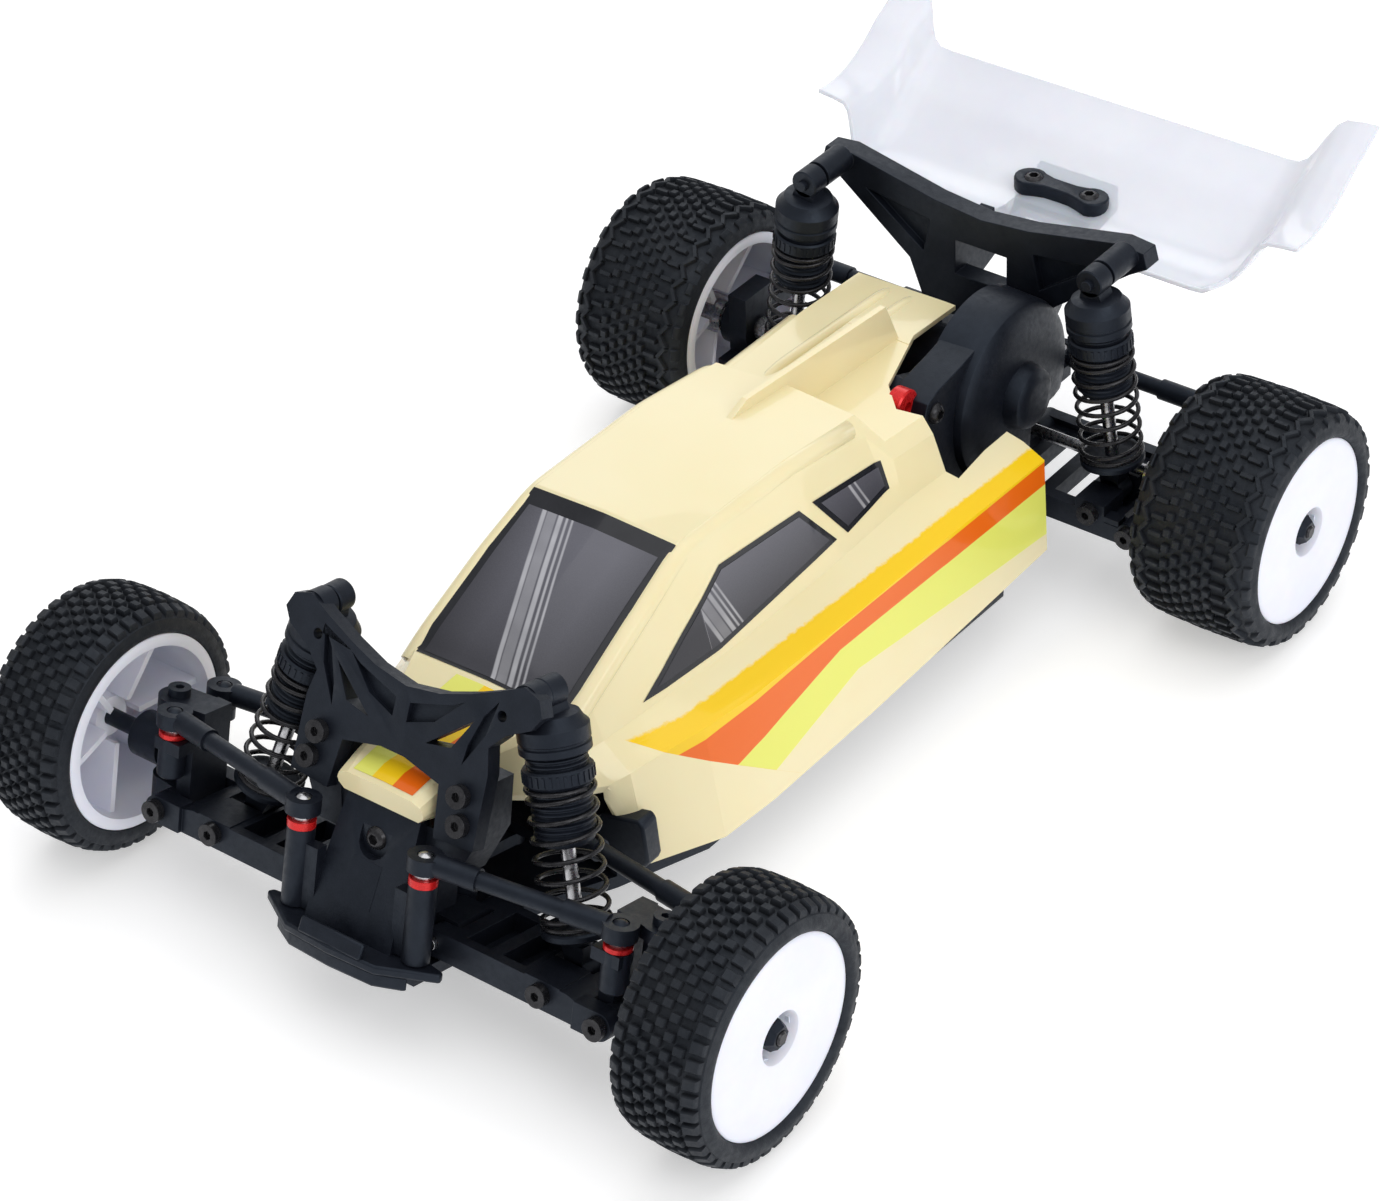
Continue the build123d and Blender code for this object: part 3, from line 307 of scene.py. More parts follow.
MATERIALS = {
    "black_nylon": plain_material(
        "black_nylon", (0.006, 0.0072, 0.0115), 0.48, ((0.0045, 0.0054, 0.0090), (0.0078, 0.0092, 0.0145), 260),
        (0.36, 0.54, 900), (5200, 2, 0.22, 0.00012),
        Specular_IOR_Level=0.36, Specular_Tint=(0.66, 0.80, 1.0, 1)),
    "tyre_rubber": plain_material(
        "tyre_rubber", (0.009, 0.0098, 0.0125), 0.62, ((0.0066, 0.0073, 0.0098), (0.0150, 0.0155, 0.0180), 150),
        (0.50, 0.76, 700), (3600, 5, 0.35, 0.00018),
        Specular_IOR_Level=0.42, Specular_Tint=(0.72, 0.84, 1.0, 1)),
    "white_nylon": plain_material(
        "white_nylon", (0.80, 0.81, 0.90), 0.34, ((0.775, 0.785, 0.885), (0.815, 0.825, 0.905), 90),
        (0.28, 0.40, 600), (2600, 2, 0.06, 0.0001), Subsurface_Weight=0.12, Subsurface_Scale=0.002),
    "steel": plain_material(
        "machined_steel", (0.52, 0.52, 0.54), 0.26, None, (0.18, 0.36, 1500),
        (4000, 2, 0.08, 0.00005), Metallic=1.0),
    "black_steel": plain_material(
        "black_oxide_steel", (0.022, 0.022, 0.025), 0.3, ((0.016, 0.016, 0.019), (0.034, 0.034, 0.038), 700),
        (0.20, 0.36, 1300), (5000, 2, 0.05, 0.00005), Metallic=0.55),
    "red_anodised": plain_material(
        "red_anodised", (0.62, 0.012, 0.014), 0.28, ((0.55, 0.010, 0.012), (0.70, 0.016, 0.016), 800),
        (0.22, 0.34, 1500), Metallic=0.35),
    "gear_nylon": plain_material(
        "gear_nylon", (0.03, 0.03, 0.033), 0.42, ((0.024, 0.024, 0.027), (0.045, 0.045, 0.048), 400),
        (0.34, 0.5, 900), (4200, 2, 0.15, 0.0001)),
    "battery_wrap": plain_material(
        "battery_wrap", (0.02, 0.05, 0.16), 0.2, ((0.016, 0.04, 0.13), (0.03, 0.07, 0.2), 120), None,
        (260, 3, 0.25, 0.0004), Coat_Weight=0.6, Coat_Roughness=0.1),
    "window_frame": plain_material(
        "window_frame", BLACK_PAINT, 0.2, ((0.010, 0.011, 0.015), (0.016, 0.017, 0.022), 200),
        Coat_Weight=0.25, Coat_Roughness=0.04, Specular_IOR_Level=0.25),
    "wing_plastic": plain_material(
        "wing_polycarbonate", (0.80, 0.83, 0.92), 0.16, ((0.78, 0.81, 0.905), (0.82, 0.85, 0.93), 60),
        (0.12, 0.2, 300), Coat_Weight=0.6, Coat_Roughness=0.05, IOR=1.58,
        Subsurface_Weight=0.15, Subsurface_Scale=0.004, Alpha=0.62),
    "shell_paint": shell_paint(),
    # the dark window sticker, with painted reflection and painted glare in its colour
    "window_with_painted_glare": window_with_painted_glare(),
    "patch_paint": patch_paint(),
}


# ---- mesh helpers

def new_object(name, bm, materials, smooth_below=38):
    """A mesh object from bmesh, smooth except at edges sharper than the given angle."""
    limit = math.radians(smooth_below)
    bm.normal_update()
    for edge in bm.edges:
        edge.smooth = len(edge.link_faces) == 2 and edge.calc_face_angle(0) < limit
    for face in bm.faces:
        face.smooth = True
    mesh = bpy.data.meshes.new(name)
    bm.to_mesh(mesh)
    bm.free()
    for material in materials:
        mesh.materials.append(MATERIALS[material])
    obj = bpy.data.objects.new(name, mesh)
    bpy.context.scene.collection.objects.link(obj)
    return obj


def islands(bm):
    """The mesh's separate solids, largest first, as lists of faces with their boxes."""
    seen, found = set(), []
    for start in bm.faces:
        if start in seen:
            continue
        stack, group = [start], []
        seen.add(start)
        while stack:
            face = stack.pop()
            group.append(face)
            for edge in face.edges:
                for other in edge.link_faces:
                    if other not in seen:
                        seen.add(other)
                        stack.append(other)
        points = [v.co for face in group for v in face.verts]
        low = Vector([min(p[i] for p in points) for i in range(3)])
        high = Vector([max(p[i] for p in points) for i in range(3)])
        found.append((group, low, high))
    return sorted(found, key=lambda item: -(item[2] - item[1]).length)


def bridge(bm, one, two, material=0):
    """The band of faces between two closed rings of vertices."""
    count = len(one)
    for k in range(count):
        n = (k + 1) % count
        bm.faces.new((one[k], one[n], two[n], two[k])).material_index = material


def circle(y, z, radius, steps=48):
    angles = [2 * math.pi * k / steps for k in range(steps)]
    return [(y + radius * math.cos(a), z + radius * math.sin(a)) for a in angles]


def turned_ring(bm, x, radius, steps):
    """A ring of vertices about the x axis."""
    return [bm.verts.new(Vector((x, y, z)) * MM) for y, z in circle(0, 0, radius, steps)]


def mirrored(half):
    """Both halves of an outline that runs from the middle line and back to it."""
    return half + [(-x, y) for x, y in reversed(half) if x]


def settle(bm, place):
    """Turns the faces outwards and moves the mesh to its place."""
    bmesh.ops.recalc_face_normals(bm, faces=bm.faces)
    bm.transform(place)


def attach(obj, body, node=None):
    """Gives a piece its body, and hides the CAD node that it replaces."""
    if node:
        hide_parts(node)
    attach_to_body(obj, body)


def rounded(obj, width, angle=32, segments=2, harden=False):
    """Rounds the edges that are sharper than the angle."""
    bevel = obj.modifiers.new("rounded", "BEVEL")
    bevel.width = width * MM
    bevel.segments = segments
    bevel.limit_method = "ANGLE"
    bevel.angle_limit = math.radians(angle)
    bevel.harden_normals = harden


def cad_mesh(node):
    bm = bmesh.new()
    bm.from_mesh(NODES[node].data)
    bmesh.ops.remove_doubles(bm, verts=bm.verts, dist=MERGE)
    return bm


def prism(bm, outline, axis, low, high):
    """A closed prism along the axis: outline gives the other two coordinates, in millimetres."""
    rings = []
    for level in (low, high):
        ring = []
        for a, b in outline:
            place = {"x": (level, a, b), "y": (a, level, b), "z": (a, b, level)}[axis]
            ring.append(bm.verts.new(Vector(place) * MM))
        rings.append(ring)
    bridge(bm, *rings)
    bm.faces.new(rings[1])
    bm.faces.new(list(reversed(rings[0])))


def block(name, outline, axis, low, high, place, smooth_below=30):
    """A black moulded piece made of one prism."""
    bm = bmesh.new()
    prism(bm, outline, axis, low, high)
    settle(bm, place)
    return new_object(name, bm, ["black_nylon"], smooth_below)


def carved(obj, cutters, place):
    """Cuts prisms, given as (outline, axis, low, high), out of an object's mesh."""
    bm = bmesh.new()
    for outline, axis, low, high in cutters:
        prism(bm, outline, axis, low, high)
    settle(bm, place)
    mesh = bpy.data.meshes.new("cutter")
    bm.to_mesh(mesh)
    bm.free()
    tool = bpy.data.objects.new("cutter", mesh)
    bpy.context.scene.collection.objects.link(tool)
    modifier = obj.modifiers.new("cut", "BOOLEAN")
    modifier.operation = "DIFFERENCE"
    modifier.solver = "EXACT"
    modifier.object = tool
    graph = bpy.context.evaluated_depsgraph_get()
    result = bpy.data.meshes.new_from_object(obj.evaluated_get(graph))
    obj.modifiers.clear()
    obj.data = result
    bpy.data.objects.remove(tool)


def moulded(node, materials, choose=None, bevel=0.28, angle=32, pockets=None):
    """A finished copy of a CAD node, with rounded edges and a material for each of its solids."""
    bm = cad_mesh(node)
    if choose:
        for rank, (group, low, high) in enumerate(islands(bm)):
            index = choose(rank, low, high)
            for face in group:
                face.material_index = index
    bmesh.ops.dissolve_limit(bm, angle_limit=math.radians(0.6), verts=bm.verts, edges=bm.edges,
                             delimit={"MATERIAL"})
    obj = new_object(node + "_finished", bm, materials, angle)
    if pockets:
        carved(obj, *pockets)
    if bevel:
        rounded(obj, bevel, angle, harden=True)
    attach(obj, NODES[node]["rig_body"], node)
    return obj


def largest_first(rank, low, high):
    return 0 if rank == 0 else 1


# ---- lathe work

def lathe(bm, profile, steps, material=0):
    """Turns a closed outline of (x, radius) points in millimetres about the x axis."""
    rings = []
    for i in range(steps):
        a = 2 * math.pi * i / steps
        rings.append([bm.verts.new(Vector((x, r * math.cos(a), r * math.sin(a))) * MM) for x, r in profile])
    for one, two in zip(rings, rings[1:] + rings[:1]):
        bridge(bm, one, two, material)


def radius_on(profile, x):
    """The outer radius of an open tread profile at x."""
    for (x0, r0), (x1, r1) in zip(profile, profile[1:]):
        if x0 <= x <= x1:
            return r0 + (r1 - r0) * (x - x0) / max(x1 - x0, 1e-6)
    return profile[-1][1]


def tread_bar(bm, profile, start, end, width, height):
    """A raised bar between two (x, angle) places on the tyre, wider at its foot than on top."""
    (x0, a0), (x1, a1) = start, end
    reach = radius_on(profile, (x0 + x1) / 2)
    along = Vector((x1 - x0, (a1 - a0) * reach))
    length = along.length
    along /= length
    across = Vector((-along.y, along.x))
    rings = []
    for scale, lift in ((1.0, -0.25), (0.97, height * 0.45), (0.90, height * 0.8), (0.74, height)):
        half_length = length / 2 - (1 - scale) * width / 2
        half_width = width / 2 * scale
        ring = []
        for i, j in ((-1, -1), (1, -1), (1, 1), (-1, 1)):
            x = (x0 + x1) / 2 + along.x * i * half_length + across.x * j * half_width
            angle = (a0 + a1) / 2 + (along.y * i * half_length + across.y * j * half_width) / reach
            r = radius_on(profile, x) + lift
            ring.append(bm.verts.new(Vector((x, r * math.cos(angle), r * math.sin(angle))) * MM))
        rings.append(ring)
    for low, high in zip(rings, rings[1:]):
        bridge(bm, low, high)
    bm.faces.new(rings[-1])
    bm.faces.new(list(reversed(rings[0])))


def tread_row(bm, profile, x, width, arc, count, phase, height):
    """A ring of blocks at x: width runs across the tyre, and arc along its circumference."""
    for i in range(count):
        angle = 2 * math.pi * (i + phase + random.uniform(-0.03, 0.03)) / count
        tread_bar(bm, profile, (x - width / 2, angle), (x + width / 2, angle), arc, height)


def front_tread(bm, crown, mid, half):
    rows = ((-0.83, 2.3, 2.0, 0), (-0.50, 1.9, 1.5, 0.5), (-0.245, 1.7, 1.5, 0), (0.0, 1.7, 1.5, 0.5),
            (0.245, 1.7, 1.5, 0), (0.50, 1.9, 1.5, 0.5), (0.83, 2.3, 2.0, 0))
    for place, width, arc, phase in rows:
        tread_row(bm, crown, mid + place * (half - 0.5), width, arc, 46, phase, 0.98)


def rear_tread(bm, crown, mid, half):
    """Small pins in the middle, bars beside them, and a zigzag ridge and lugs along each edge."""
    for index, place in enumerate((-0.34, -0.17, 0.0, 0.17, 0.34)):
        tread_row(bm, crown, mid + place * half, 1.45, 1.45, 46, 0.5 * (index % 2), 0.98)
    for edge in (-1, 1):
        tread_row(bm, crown, mid + edge * 0.52 * half, 2.6, 0.85, 46, 0.25, 0.98)
        steps = 60
        for i in range(steps):
            near, far = (0.66, 0.79) if i % 2 else (0.79, 0.66)
            a, b = 2 * math.pi * i / steps, 2 * math.pi * (i + 1) / steps
            tread_bar(bm, crown, (mid + edge * near * half, a), (mid + edge * far * half, b), 0.85, 0.95)
        tread_row(bm, crown, mid + edge * 0.915 * half, 1.3, 2.5, 30, 0.25, 0.8)


def to_wheel(bm, side, hub):
    """Moves a piece that is made for the left, about the x axis, to its own wheel."""
    for v in bm.verts:
        v.co.x *= side
    if side < 0:
        bmesh.ops.reverse_faces(bm, faces=bm.faces)
    bm.transform(Matrix.Translation((0, hub.y, hub.z)))


def tyre_sides(end, side_name, side):
    """How far out the tyre's inner and outer sides are, in millimetres, and its radius."""
    low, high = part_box(f"{end}_tyre_{side_name}")
    x0, x1 = (low.x / MM, high.x / MM) if side > 0 else (-high.x / MM, -low.x / MM)
    return x0, x1, (high.z - low.z) / 2 / MM


def spoke_point(x, r, across, angle):
    """A point at radius r and angle about the x axis, moved across by a distance, in metres."""
    y = r * math.cos(angle) - across * math.sin(angle)
    z = r * math.sin(angle) + across * math.cos(angle)
    return Vector((x, y, z)) * MM


def tyre(end, side_name, side):
    """A moulded off-road tyre: a rounded carcass with rows of tread blocks."""
    node = f"{end}_tyre_{side_name}"
    hub = HUBS[end]
    x0, x1, radius = tyre_sides(end, side_name, side)
    mid, half = (x0 + x1) / 2, (x1 - x0) / 2
    ground = radius - 1.05
    crown = [(x0 + 0.2, 18.9), (x0 + 0.55, 20.0), (x0 + 1.4, ground - 0.75), (x0 + 3.2, ground - 0.2),
             (mid, ground + 0.05), (x1 - 3.2, ground - 0.2), (x1 - 1.4, ground - 0.75), (x1 - 0.55, 20.0),
             (x1 - 0.2, 18.9)]
    outline = [(x0 + 1.9, 16.7), (x0 + 0.9, 17.3), (x0 + 0.35, 17.6), (x0 + 0.1, 18.2)] + crown + [
        (x1 - 0.12, 18.2), (x1 - 0.35, 17.6), (x1 - 0.75, 17.2), (x1 - 1.3, 17.05), (x1 - 2.1, 16.7)]
    bm = bmesh.new()
    lathe(bm, outline, 96)
    (front_tread if end == "front" else rear_tread)(bm, crown, mid, half)
    to_wheel(bm, side, hub)
    obj = new_object(node + "_tread", bm, ["tyre_rubber"], 32)
    attach(obj, NODES[node]["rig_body"], node)


def rim(end, side_name, side):
    """A closed dish wheel: smooth outer disc, centre cup with the nut, ribs on the hidden side."""
    node = f"{end}_rim_{side_name}"
    hub = HUBS[end]
    x0, x1, _ = tyre_sides(end, side_name, side)
    bm = bmesh.new()
    bore = 1.56 if end == "front" else 2.02
    outline = [(x0 + 0.25, 15.3), (x0 + 0.2, 16.9), (x0 + 0.5, 17.35), (x0 + 1.3, 17.35), (x0 + 1.75, 16.6),
               (x1 - 2.1, 16.6), (x1 - 1.5, 17.05), (x1 - 0.95, 17.0), (x1 - 0.72, 16.6), (x1 - 0.72, 15.9),
               (x1 - 0.62, 12.0), (x1 - 0.50, 8.0), (x1 - 0.50, 5.2), (x1 - 0.72, 4.55), (x1 - 1.3, 4.25),
               (x1 - 3.7, 3.7), (x1 - 3.9, 3.2), (x1 - 3.9, bore), (x0 + 8.2, bore), (x0 + 8.2, 3.6),
               (x1 - 6.0, 4.4), (x1 - 4.6, 5.4), (x1 - 2.4, 8.0), (x1 - 2.2, 14.6), (x1 - 3.2, 15.1)]
    lathe(bm, outline, 96)
    for i in range(6):
        angle = 2 * math.pi * i / 6
        rib = bmesh.ops.create_cube(bm, size=1.0)["verts"]
        for v in rib:
            x = x0 + 5.5 if v.co.x < 0 else x1 - 2.0
            r = 3.9 if v.co.y < 0 else 15.2
            if v.co.x < 0 and r > 10:
                x = x0 + 3.0
            v.co = spoke_point(x, r, v.co.z * 1.1, angle)
    to_wheel(bm, side, hub)
    obj = new_object(node + "_dish", bm, ["white_nylon"], 40)
    attach(obj, NODES[node]["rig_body"], node)
    wheel_nut(end, side_name, side, hub, x1)
    if end == "rear":
        stub_axle(side_name, side, hub, x1)


def wheel_nut(end, side_name, side, hub, x1):
    """A black flanged lock nut in the wheel's centre cup, with the axle's steel tip."""
    bm = bmesh.new()
    lathe(bm, [(x1 - 3.85, 1.3), (x1 - 3.85, 3.1), (x1 - 3.45, 3.1), (x1 - 3.3, 2.7), (x1 - 3.3, 1.3)],
          36)
    rings = []
    for x, r in ((x1 - 3.4, 2.7), (x1 - 1.7, 2.7), (x1 - 1.2, 2.3), (x1 - 0.6, 1.9), (x1 - 0.6, 1.2)):
        rings.append(turned_ring(bm, x, r, 6))
    for one, two in zip(rings, rings[1:]):
        bridge(bm, one, two)
    lathe(bm, [(x1 - 2.8, 0.01), (x1 - 2.8, 1.2), (x1 - 0.5, 1.2), (x1 - 0.2, 0.9), (x1 - 0.2, 0.01)],
          24, 1)
    to_wheel(bm, side, hub)
    bmesh.ops.recalc_face_normals(bm, faces=bm.faces)
    obj = new_object(f"{end}_wheel_nut_{side_name}", bm, ["black_nylon", "black_steel"], 30)
    attach(obj, f"{end}_wheel_{side_name}")


def stub_axle(side_name, side, hub, x1):
    """The rear stub axle with its cup for the driveshaft's outer ball."""
    bm = bmesh.new()
    cup_x = 40.3
    outline = [(cup_x, 1.75), (cup_x, 2.45), (cup_x + 0.2, 2.6), (44.4, 2.6), (44.9, 2.0), (52.2, 2.0),
               (52.2, 3.5), (56.8, 3.5), (56.8, 2.0), (x1 - 3.0, 2.0), (x1 - 3.0, 0.4), (45.5, 0.4),
               (43.9, 1.75)]
    lathe(bm, outline, 40)
    to_wheel(bm, side, hub)
    obj = new_object(f"rear_stub_axle_{side_name}", bm, ["steel"], 35)
    attach(obj, f"rear_wheel_{side_name}")


# ---- shock absorbers

def shock_line(end, side_name):
    """The shock's line from its joint: top eye, and the unit direction down to the foot."""
    top = Vector(JOINTS[f"{end}_shock_hinge_{side_name}"]["pos_m"])
    down = Vector(JOINTS[f"{end}_shock_stroke_{side_name}"]["axis"])
    return top, down


def along_line(top, down):
    """A matrix whose x axis runs down the shock from its top eye."""
    side = down.cross(Vector((0, 1, 0))).normalized()
    other = down.cross(side).normalized()
    turn = Matrix((down, side, other)).transposed().to_4x4()
    return Matrix.Translation(top) @ turn


def shock_barrel(end, side_name):
    """The cap, the knurled ring, the threaded barrel and the spring collar, over the CAD body."""
    node = f"{end}_shock_body_{side_name}"
    size = SHOCKS[end]
    place = along_line(*shock_line(end, side_name))
    bm = bmesh.new()
    outline = [(3.0, 0.4), (3.0, 3.6), (3.3, 4.4), (4.4, 5.0), (4.9, 5.5), (5.2, 5.75), (7.4, 5.75),
               (7.6, 5.45), (7.9, 5.45), (8.1, 5.75), (9.2, 5.75), (9.4, 5.5), (9.4, 4.7)]
    end_x = size["barrel"]
    x = 9.6
    while x < end_x - 1.2:
        outline += [(x, 4.55), (x + 0.28, 4.95), (x + 0.5, 4.95), (x + 0.78, 4.55)]
        x += 0.95
    outline += [(end_x - 0.6, 4.6), (end_x, 4.3), (end_x, 1.3), (12.0, 1.3), (12.0, 0.4)]
    lathe(bm, outline, 56)
    collar = size["collar"]
    lathe(bm, [(collar - 2.9, 4.8), (collar - 2.9, 5.3), (collar - 2.6, 5.6), (collar - 0.5, 5.6),
               (collar - 0.2, 5.3),
               (collar, 5.2), (collar, 4.8)], 56)
    for i in range(30):
        angle = 2 * math.pi * i / 30
        for v in bmesh.ops.create_cube(bm, size=1.0)["verts"]:
            v.co = spoke_point(collar - 1.5 + v.co.x * 1.7, 5.5 + v.co.y * 0.5, v.co.z * 0.45, angle)
    moulded_eye(bm, 0.0, 2.6, 1.02, 3.8, 3.4)
    settle(bm, place)
    obj = new_object(node + "_finished", bm, ["black_nylon"], 35)
    attach(obj, node, node)


def moulded_eye(bm, x, outer, hole, width, neck):
    """A flat-sided eye around the cross hole at x, with a neck that widens towards the shock."""
    rings = []
    half = width / 2
    for y, r in ((-half, hole), (-half, outer - 0.2), (-half + 0.2, outer), (half - 0.2, outer),
                 (half, outer - 0.2), (half, hole)):
        rings.append([bm.verts.new(Vector((a, b, y)) * MM) for a, b in circle(x, 0, r, 32)])
    for one, two in zip(rings, rings[1:] + rings[:1]):
        bridge(bm, one, two)
    foot = math.copysign(1.6, neck)
    for v in bmesh.ops.create_cube(bm, size=1.0)["verts"]:
        at_eye = v.co.x < 0
        v.co = Vector((x + (foot if at_eye else neck), v.co.y * (3.6 if at_eye else 4.6), v.co.z * width)) * MM


def shock_shaft(end, side_name):
    """The polished shaft, the lower spring cup and the foot eye."""
    node = f"{end}_shock_shaft_{side_name}"
    size = SHOCKS[end]
    top, down = shock_line(end, side_name)
    place = along_line(top, down)
    bm = bmesh.new()
    top_x, cup = size["barrel"] - 5, size["cup"]
    lathe(bm, [(top_x, 0.05), (top_x, 1.2), (cup + 2, 1.2), (cup + 2, 0.05)], 32, 1)
    lathe(bm, [(cup, 1.25), (cup, 4.3), (cup + 0.1, 5.4), (cup + 0.5, 5.75), (cup + 1.3, 5.75),
               (cup + 1.6, 5.3), (cup + 1.7, 2.6), (cup + 3.2, 2.3), (cup + 3.2, 1.25)], 48)
    moulded_eye(bm, size["foot"], 2.6, 1.3, 3.6, -4.6)
    settle(bm, place)
    obj = new_object(node + "_finished", bm, ["black_nylon", "steel"], 35)
    attach(obj, node, node)


def coil_spring(end, side_name):
    """A wound spring with closed ends, between the collar and the cup."""
    node = f"{end}_spring_{side_name}"
    size = SHOCKS[end]
    top, down = shock_line(end, side_name)
    low, high = size["collar"] + 0.42, size["cup"] - 0.42
    turns, steps, wire, radius = 8.4, 30, 0.42, 5.35
    count = int(turns * steps)
    bm = bmesh.new()
    previous = None
    for i in range(count + 1):
        t = i / count
        turn = turns * t
        ends = 0.85
        if turn < ends:
            x = low + turn * 2 * wire * 0.55
        elif turn > turns - ends:
            x = high - (turns - turn) * 2 * wire * 0.55
        else:
            a, b = low + ends * 2 * wire * 0.55, high - ends * 2 * wire * 0.55
            x = a + (b - a) * (turn - ends) / (turns - 2 * ends)
        angle = 2 * math.pi * turn
        centre = Vector((x, radius * math.cos(angle), radius * math.sin(angle)))
        out = Vector((0, math.cos(angle), math.sin(angle)))
        ring = []
        for k in range(8):
            b = 2 * math.pi * k / 8
            offset = out * wire * math.cos(b) + Vector((1, 0, 0)) * wire * math.sin(b)
            ring.append(bm.verts.new((centre + offset) * MM))
        if previous:
            bridge(bm, previous, ring)
        else:
            bm.faces.new(list(reversed(ring)))
        previous = ring
    bm.faces.new(previous)
    settle(bm, along_line(top, down))
    obj = new_object(node + "_coil", bm, ["black_steel"], 60)
    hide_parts(node)
    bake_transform(obj)


# ---- body shell

def shell_piece():
    bm = cad_mesh("body_shell")
    bmesh.ops.dissolve_limit(bm, angle_limit=math.radians(0.8), verts=bm.verts, edges=bm.edges)
    obj = new_object("body_shell_painted", bm, ["shell_paint"], 30)
    rounded(obj, 1.3, angle=7, segments=3)
    attach(obj, "root", "body_shell")
    return obj


def swept_tube(bm, points, radius, sides=14):
    """A round bar through the points, in millimetres, with tapered ends."""
    spots = [Vector(p) for p in points]
    previous = None
    for i, spot in enumerate(spots):
        ahead = spots[min(i + 1, len(spots) - 1)] - spots[max(i - 1, 0)]
        ahead.normalize()
        right = ahead.cross(Vector((0, 0, 1))).normalized()
        up = right.cross(ahead)
        size = radius * (0.25 if i in (0, len(spots) - 1) else 1.0)
        ring = []
        for k in range(sides):
            a = 2 * math.pi * k / sides
            offset = right * size * math.cos(a) + up * size * math.sin(a)
            ring.append(bm.verts.new((spot + offset) * MM))
        if previous:
            bridge(bm, previous, ring)
        else:
            bm.faces.new(ring)
        previous = ring
    bm.faces.new(previous)
    bmesh.ops.recalc_face_normals(bm, faces=bm.faces)


def rounded_path(points, reach=3.0, steps=5):
    """The points with each inner corner turned into a short curve."""
    spots = [Vector(p) for p in points]
    path = [spots[0], spots[0].lerp(spots[1], 0.08)]
    for before, corner, after in zip(spots, spots[1:], spots[2:]):
        a = corner + (before - corner).normalized() * min(reach, (before - corner).length / 2.2)
        b = corner + (after - corner).normalized() * min(reach, (after - corner).length / 2.2)
        for i in range(steps + 1):
            t = i / steps
            path.append(a.lerp(corner, t).lerp(corner.lerp(b, t), t))
    path += [spots[-2].lerp(spots[-1], 0.92), spots[-1]]
    return path


def shell_beads():
    """The raised beads that stiffen the shell: along the pillars and roof, and on the rear deck."""
    offset = Vector((0, MID_Y / MM, 0))
    for side_name, side in SIDES:
        rail = [(15.9, -56.0, 40.3), (15.9, -50.6, 43.3), (15.4, -36.0, 50.2), (14.6, -23.6, 55.4),
                (14.8, 5.0, 55.0), (14.6, 24.0, 52.6)]
        if side < 0:
            rail += [(18.0, 29.2, 46.2), (19.2, 56.0, 44.8)]
        bm = bmesh.new()
        swept_tube(bm, [Vector((side * x, y, z)) + offset for x, y, z in rounded_path(rail)], 1.9)
        obj = new_object(f"roof_bead_{side_name}", bm, ["shell_paint"], 60)
        attach(obj, "root")
    for index, x in enumerate((-6.0, -11.0)):
        bm = bmesh.new()
        rib = [(x, 33.0, 46.6), (x, 38.0, 47.4), (x, 56.0, 46.4), (x, 69.0, 45.6), (x, 71.5, 44.8)]
        swept_tube(bm, [Vector(p) + offset for p in rounded_path(rib)], 1.2)
        obj = new_object(f"deck_rib_{index}", bm, ["shell_paint"], 60)
        attach(obj, "root")


def surface_of(obj):
    graph = bpy.context.evaluated_depsgraph_get()
    return BVHTree.FromObject(obj, graph)


def shrunk(polygon, distance):
    """The polygon with each side moved inwards by distance."""
    area = sum(x0 * y1 - x1 * y0 for (x0, y0), (x1, y1) in zip(polygon, polygon[1:] + polygon[:1]))
    sign = 1 if area > 0 else -1
    lines = []
    for (x0, y0), (x1, y1) in zip(polygon, polygon[1:] + polygon[:1]):
        length = math.hypot(x1 - x0, y1 - y0)
        nx, ny = -(y1 - y0) / length * sign, (x1 - x0) / length * sign
        lines.append((x0 + nx * distance, y0 + ny * distance, x1 - x0, y1 - y0))
    corners = []
    for (ax, ay, adx, ady), (bx, by, bdx, bdy) in zip(lines[-1:] + lines[:-1], lines):
        cross = adx * bdy - ady * bdx
        t = ((bx - ax) * bdy - (by - ay) * bdx) / cross
        corners.append((ax + adx * t, ay + ady * t))
    return corners


def decal(name, polygon, cast, tree, material, offset, cell=0.8):
    """A thin printed patch: the polygon is filled with a grid and laid on the shell."""
    bm = bmesh.new()
    ring = [bm.verts.new((x, y, 0)) for x, y in polygon]
    bm.faces.new(ring)
    xs = [p[0] for p in polygon]
    ys = [p[1] for p in polygon]
    for axis, values in ((0, xs), (1, ys)):
        value = min(values) + cell
        while value < max(values):
            normal = (1, 0, 0) if axis == 0 else (0, 1, 0)
            spot = (value, 0, 0) if axis == 0 else (0, value, 0)
            everything = bm.verts[:] + bm.edges[:] + bm.faces[:]
            bmesh.ops.bisect_plane(bm, geom=everything, plane_co=spot, plane_no=normal)
            value += cell
    for v in bm.verts:
        origin, direction = cast(v.co.x, v.co.y)
        spot, normal, _, _ = tree.ray_cast(origin, direction)
        if spot is None:
            spot, normal, _, _ = tree.find_nearest(origin + direction * 0.03)
        if normal.dot(direction) > 0:
            normal = -normal
        v.co = spot + normal * offset * MM
    bmesh.ops.recalc_face_normals(bm, faces=bm.faces)
    obj = new_object(name, bm, [material], 60)
    attach(obj, "root")
    return obj


